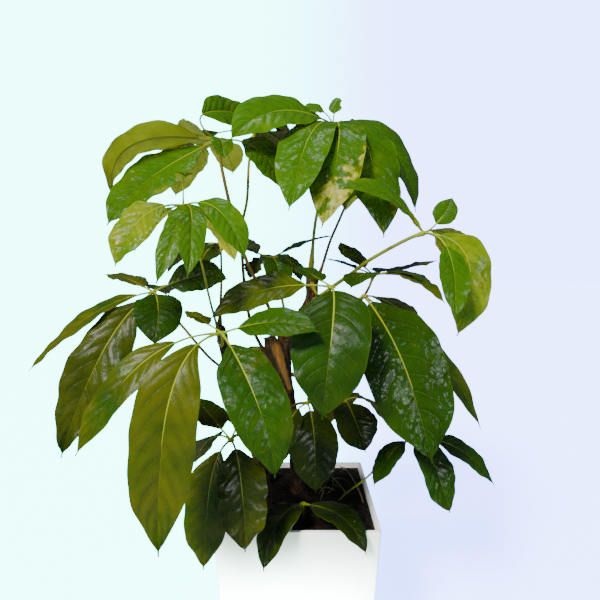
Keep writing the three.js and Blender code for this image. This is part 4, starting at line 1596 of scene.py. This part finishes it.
FRONDS = (
    Frond(
        name="top_leaf",
        tone=LeafTone.YOUNG,
        stalk=StalkTone.GREEN,
        hub=(47, 0, 696),
        petiole=((18, 22, 500), (25, 12, 575), (43, 3, 650)),
        leaflets=(
            Leaflet((-76, -85, 655), 60, rise=28, roll=48, look=Look.LIGHT),
            Leaflet((-9, -110, 573), 62, rise=5, roll=10, look=Look.SPECKLED),
            Leaflet((28, -95, 555), 64, rise=0, reach=0.8, bow=-30, look=Look.WITHERED),
            Leaflet((102, -75, 545), 72, rise=12, reach=0.8, roll=-12, bow=2, look=Look.PALE_TIP),
            Leaflet((9, -15, 709), 24, rise=28, reach=0.4, roll=45, look=Look.LIGHT),
            Leaflet((58, -5, 725), 20, rise=30, reach=0, roll=-80, stalk=14, look=Look.LIGHT),
            Leaflet((134, 30, 680), 42, rise=14, roll=-30),
            Leaflet((158, 5, 584), 66, rise=15, reach=0.8, roll=-42),
            Leaflet((-15, 100, 655), 50, rise=20),
            Leaflet((30, 120, 660), 50, rise=15),
        ),
        radius=2.2,
    ),
    Frond(
        name="upper_left_leaf",
        tone=LeafTone.YOUNG,
        hub=(-96, -60, 660),
        petiole=((-16, 27, 392), (-43, 8, 465), (-69, -10, 525), (-85, -35, 592)),
        leaflets=(
            Leaflet((-210, -90, 590), 50, rise=16, reach=1.1, roll=-25, look=Look.OLIVE),
            Leaflet((-201, -130, 555), 66, rise=-45, reach=0.7, roll=35, bow=12, look=Look.SPECKLED),
            Leaflet((-156, -20, 601), 58, rise=5, reach=0.6, look=Look.OLIVE),
            Leaflet((-82, -90, 633), 26, rise=8, reach=0.7, stalk=8, look=Look.SPECKLED),
            Leaflet((-152, 0, 678), 48, rise=24, roll=-35, look=Look.LIGHT),
            Leaflet((-50, -5, 706), 44, rise=32, reach=-1, roll=-60, stalk=40, look=Look.LIGHT),
            Leaflet((-17, -60, 603), 48, rise=12, reach=0.7, roll=-50, stalk=30),
            Leaflet((-90, 40, 640), 42, rise=15),
        ),
        radius=2.5,
    ),
    Frond(
        name="upper_back_leaf",
        hub=(-60, 50, 703),
        petiole=(
            (-16, 28, 345),
            (-49, 28, 395),
            (-67, 30, 436),
            (-78, 35, 563),
            (-71, 40, 604),
            (-68, 45, 659),
        ),
        leaflets=(
            Leaflet((-10, 60, 695), 40, rise=20, look=Look.OLIVE),
            Leaflet((3, 120, 654), 50, rise=12, look=Look.OLIVE),
            Leaflet((-190, 60, 668), 44, rise=5, stalk=52, look=Look.DARK),
            Leaflet((-10, 170, 680), 50, rise=10, look=Look.DARK),
            Leaflet((-40, 150, 665), 50, rise=10, look=Look.DARK),
        ),
        radius=2.3,
    ),
    Frond(
        name="upper_right_leaf",
        tone=LeafTone.YOUNG,
        hub=(96, 50, 662),
        petiole=((19, 22, 478), (32, 25, 505), (45, 30, 545), (58, 35, 575)),
        leaflets=(
            Leaflet((150, 110, 650), 42, rise=15),
            Leaflet((160, 60, 640), 42, rise=15),
            Leaflet((130, 150, 612), 48, rise=10),
            Leaflet((78, 150, 600), 48, rise=5, look=Look.LIGHT),
            Leaflet((62, 5, 590), 44, rise=5, look=Look.YELLOWED),
        ),
    ),
    Frond(
        name="left_young_leaf",
        tone=LeafTone.YOUNG,
        stalk=StalkTone.GREEN,
        hub=(-122, -120, 577),
        petiole=((-107, 10, 418), (-106, -10, 430), (-108, -50, 470), (-112, -95, 530)),
        leaflets=(
            Leaflet((-182, -160, 512), 46, rise=5, reach=0.7, roll=35, look=Look.YELLOWED),
            Leaflet((-132, -190, 496), 26, rise=5, reach=0.7, bow=-24, look=Look.SPECKLED),
            Leaflet((-100, -200, 502), 28, rise=5, reach=0.7, bow=-13, look=Look.SPECKLED),
            Leaflet((-52, -160, 520), 34, rise=14, reach=0.7, roll=-35, look=Look.LIGHT),
            Leaflet((-114, -142, 604), 18, rise=44, reach=0.1, stalk=24, look=Look.DARK),
            Leaflet((-200, -50, 530), 26, rise=5),
            Leaflet((-75, -60, 517), 40, rise=5, look=Look.OLIVE),
        ),
        radius=1.6,
    ),
    Frond(
        name="right_young_leaf",
        tone=LeafTone.YOUNG,
        stalk=StalkTone.GREEN,
        hub=(150, -70, 551),
        petiole=((18, 24, 458), (45, -5, 483), (70, -28, 503), (88, -40, 518), (136, -65, 546)),
        leaflets=(
            Leaflet((50, -112, 596), 30, rise=65, reach=0.5, roll=50, look=Look.LIGHT),
            Leaflet((127, -75, 581), 14, rise=15, stalk=5, look=Look.LIGHT),
            Leaflet((186, -60, 594), 28, rise=10, roll=-60),
            Leaflet((184, -95, 432), 54, rise=-6, reach=2, roll=-40, look=Look.YELLOWED),
            Leaflet((164, -150, 460), 34, reach=0.7, bow=-14, stalk=48, look=Look.SPECKLED),
            Leaflet((220, 0, 520), 40, rise=20),
            Leaflet((222, -25, 472), 38, rise=0),
        ),
        radius=2.6,
    ),
    Frond(
        name="right_flat_leaf",
        hub=(99, -20, 500),
        petiole=((-4, 25, 417), (60, 0, 440), (90, -15, 477)),
        leaflets=(
            Leaflet((196, 30, 520), 36, rise=12, look=Look.OLIVE),
            Leaflet((167, -70, 482), 40, rise=15),
            Leaflet((168, -100, 470), 36, rise=12, look=Look.OLIVE),
            Leaflet((62, -90, 487), 38, rise=10),
            Leaflet((60, 40, 546), 36, rise=25),
            Leaflet((38, 5, 522), 30, rise=18),
            Leaflet((150, 85, 500), 42, rise=15),
        ),
    ),
    Frond(
        name="middle_leaf",
        stalk=StalkTone.GREEN,
        hub=(39, -110, 489),
        petiole=((19, 22, 490), (24, -5, 478), (30, -65, 472)),
        leaflets=(
            Leaflet((25, -190, 365), 78, reach=0.8, bow=-14),
            Leaflet((-93, -130, 456), 46, rise=12, roll=40, stalk=30, look=Look.OLIVE),
            Leaflet((0, -50, 512), 34, rise=15),
        ),
    ),
    Frond(
        name="right_big_leaf",
        hub=(77, -95, 478),
        petiole=((4, 25, 440), (35, -10, 445), (62, -60, 462)),
        leaflets=(
            Leaflet((143, -150, 305), 92, rise=-60, reach=0.7, roll=-42, stalk=10, look=Look.QUILTED),
            Leaflet((228, -60, 311), 36, rise=-74, reach=0.74, roll=-55, look=Look.OLIVE),
            Leaflet((50, -90, 362), 50, rise=-5, reach=0.9, look=Look.DARK),
            Leaflet((150, -30, 430), 45, rise=0),
        ),
    ),
    Frond(
        name="front_left_leaf",
        stalk=StalkTone.GREEN,
        hub=(-77, -150, 443),
        petiole=((-104, 12, 405), (-98, -40, 412), (-84, -105, 424)),
        leaflets=(
            Leaflet((-128, -215, 243), 63, rise=5, reach=1.05, roll=36, stalk=34, look=Look.OLIVE),
            Leaflet((-19, -220, 321), 57, rise=-45, reach=1, roll=-30, bow=10, look=Look.SPECKLED),
            Leaflet((-214, -190, 329), 40, rise=5, roll=42, stalk=48, look=Look.OLIVE),
            Leaflet((21, -190, 450), 38, rise=25, roll=-40, look=Look.LIGHT),
            Leaflet((-122, -120, 464), 24, rise=15, look=Look.OLIVE),
        ),
    ),
    Frond(
        name="left_dark_leaf",
        hub=(-178, -50, 480),
        petiole=((-12, 28, 318), (-50, 15, 340), (-85, -2, 365), (-112, -12, 386), (-149, -22, 433)),
        leaflets=(
            Leaflet((-325, -70, 385), 42, rise=-8, reach=0.5, roll=25, look=Look.OLIVE),
            Leaflet((-269, -110, 294), 64, rise=-40, reach=0.6, roll=50, look=Look.BRONZE),
            Leaflet((-160, -110, 424), 54, rise=0, reach=0.9, bow=-10),
            Leaflet((-256, 10, 501), 45, rise=20, look=Look.OLIVE),
            Leaflet((-87, -40, 495), 48, rise=30, roll=-50),
            Leaflet((-190, 50, 470), 45, rise=15),
        ),
    ),
    Frond(
        name="middle_back_leaf",
        hub=(-38, 40, 523),
        petiole=((-13, 27, 405), (-21, 34, 461)),
        leaflets=(
            Leaflet((-64, 12, 494), 35, rise=5, reach=0.8, stalk=12, look=Look.BRONZE),
            Leaflet((-22, -14, 478), 40, rise=5, reach=0.8, stalk=12),
            Leaflet((5, 18, 490), 44, rise=8, reach=0.8, stalk=12, look=Look.DARK),
            Leaflet((52, 90, 557), 40, rise=30, look=Look.DARK),
            Leaflet((-137, 88, 541), 38, rise=26, look=Look.OLIVE),
            Leaflet((-30, 140, 500), 48, rise=15),
        ),
    ),
    Frond(
        name="low_left_leaf",
        hub=(-75, -110, 315),
        petiole=((-68, 29, 275), (-74, -20, 290), (-76, -70, 305)),
        leaflets=(
            Leaflet((-100, -150, 187), 50, reach=0.9, roll=25, look=Look.OLIVE),
            Leaflet((-54, -160, 213), 54, rise=5, reach=0.9, look=Look.BRONZE),
            Leaflet((-125, -60, 350), 42, rise=20, look=Look.DARK),
            Leaflet((-60, -50, 345), 42, rise=20, look=Look.DARK),
            Leaflet((-127, -64, 268), 42, rise=10, look=Look.DARK),
        ),
    ),
    Frond(
        name="low_middle_leaf",
        hub=(13, -25, 333),
        petiole=((-9, 28, 312), (2, 0, 325)),
        leaflets=(
            Leaflet((23, -80, 238), 58, rise=0, reach=0.9, look=Look.DARK),
            Leaflet((-20, -70, 270), 40, rise=0, reach=0.9, look=Look.DARK),
            Leaflet((45, 40, 280), 42, rise=10, look=Look.DARK),
        ),
    ),
    Frond(
        name="low_shade_leaf",
        hub=(63, -20, 335),
        petiole=((-17, 28, 362), (30, 0, 350)),
        leaflets=(
            Leaflet((85, -60, 281), 60, reach=0.8, bow=12, stalk=8, look=Look.DARK),
            Leaflet((128, 20, 288), 38, rise=10, look=Look.DARK),
            Leaflet((70, 60, 300), 42, rise=10, look=Look.DARK),
        ),
    ),
    Frond(
        name="low_right_leaf",
        stalk=StalkTone.GREEN,
        hub=(150, -60, 299),
        petiole=((53, -12, 110), (54, -14, 190), (92, -25, 232), (130, -40, 281)),
        leaflets=(
            Leaflet((247, -60, 238), 32, roll=-35, look=Look.SPECKLED),
            Leaflet((176, -110, 229), 46, rise=5, reach=0.9, bow=22, stalk=10, look=Look.SPECKLED),
            Leaflet((91, -90, 252), 36, rise=5),
            Leaflet((185, 30, 330), 42, rise=30),
            Leaflet((180, 40, 270), 45, rise=15, look=Look.DARK),
        ),
        radius=1.4,
    ),
    Frond(
        name="back_left_leaf",
        hub=(-120, 110, 545),
        petiole=((-107, 10, 424), (-110, 40, 455), (-114, 75, 495)),
        leaflets=(
            Leaflet((-210, 130, 500), 50, rise=10),
            Leaflet((-160, 190, 515), 52, rise=15, look=Look.LIGHT),
            Leaflet((-70, 185, 530), 48, rise=20, look=Look.OLIVE),
            Leaflet((-150, 60, 478), 44, rise=0, reach=0.8, look=Look.BRONZE),
            Leaflet((-200, 90, 462), 46, rise=0),
        ),
    ),
    Frond(
        name="back_right_leaf",
        hub=(100, 120, 440),
        petiole=((6, 25, 434), (30, 60, 428), (70, 95, 428)),
        leaflets=(
            Leaflet((190, 150, 400), 50, rise=15),
            Leaflet((150, 210, 372), 54, rise=10, look=Look.LIGHT),
            Leaflet((70, 205, 380), 52, rise=10),
            Leaflet((20, 165, 395), 48, rise=15, look=Look.OLIVE),
            Leaflet((165, 75, 360), 46, rise=0, look=Look.DARK),
        ),
    ),
    Frond(
        name="back_low_leaf",
        hub=(-60, 110, 380),
        petiole=((-17, 28, 350), (-25, 55, 352), (-45, 90, 368)),
        leaflets=(
            Leaflet((-120, 150, 310), 50, rise=5, look=Look.DARK),
            Leaflet((-60, 200, 310), 54, rise=10),
            Leaflet((15, 175, 320), 50, rise=10),
            Leaflet((-110, 80, 295), 44, rise=0, look=Look.DARK),
            Leaflet((-20, 110, 280), 46, rise=0, reach=0.9, look=Look.DARK),
        ),
    ),
    Frond(
        name="seedling",
        stalk=StalkTone.GREEN,
        hub=(8, -60, 214),
        petiole=((8, -58, 140), (8, -59, 190)),
        leaflets=(
            Leaflet((-38, -125, 169), 42, rise=25, reach=0.8, stalk=10, look=Look.DARK),
            Leaflet((79, -120, 185), 42, rise=20, reach=0.8, stalk=10, look=Look.DARK),
        ),
        radius=1.1,
    ),
)


def main() -> None:
    """Builds the stage and then every piece, and writes down how large it all came out."""
    logging.basicConfig(level=logging.INFO, format="%(name)s: %(message)s")
    Studio().build()
    pot = Pot()
    pot.build()
    Soil(pot).build()
    bark = BARK.material()
    for cane in CANES:
        cane.build(bark)
    straw = STRAW.material()
    for stub in DRY_STUBS:
        stub.build(straw)
    for frond in FRONDS:
        frond.build()


if __name__ == "__main__":
    main()
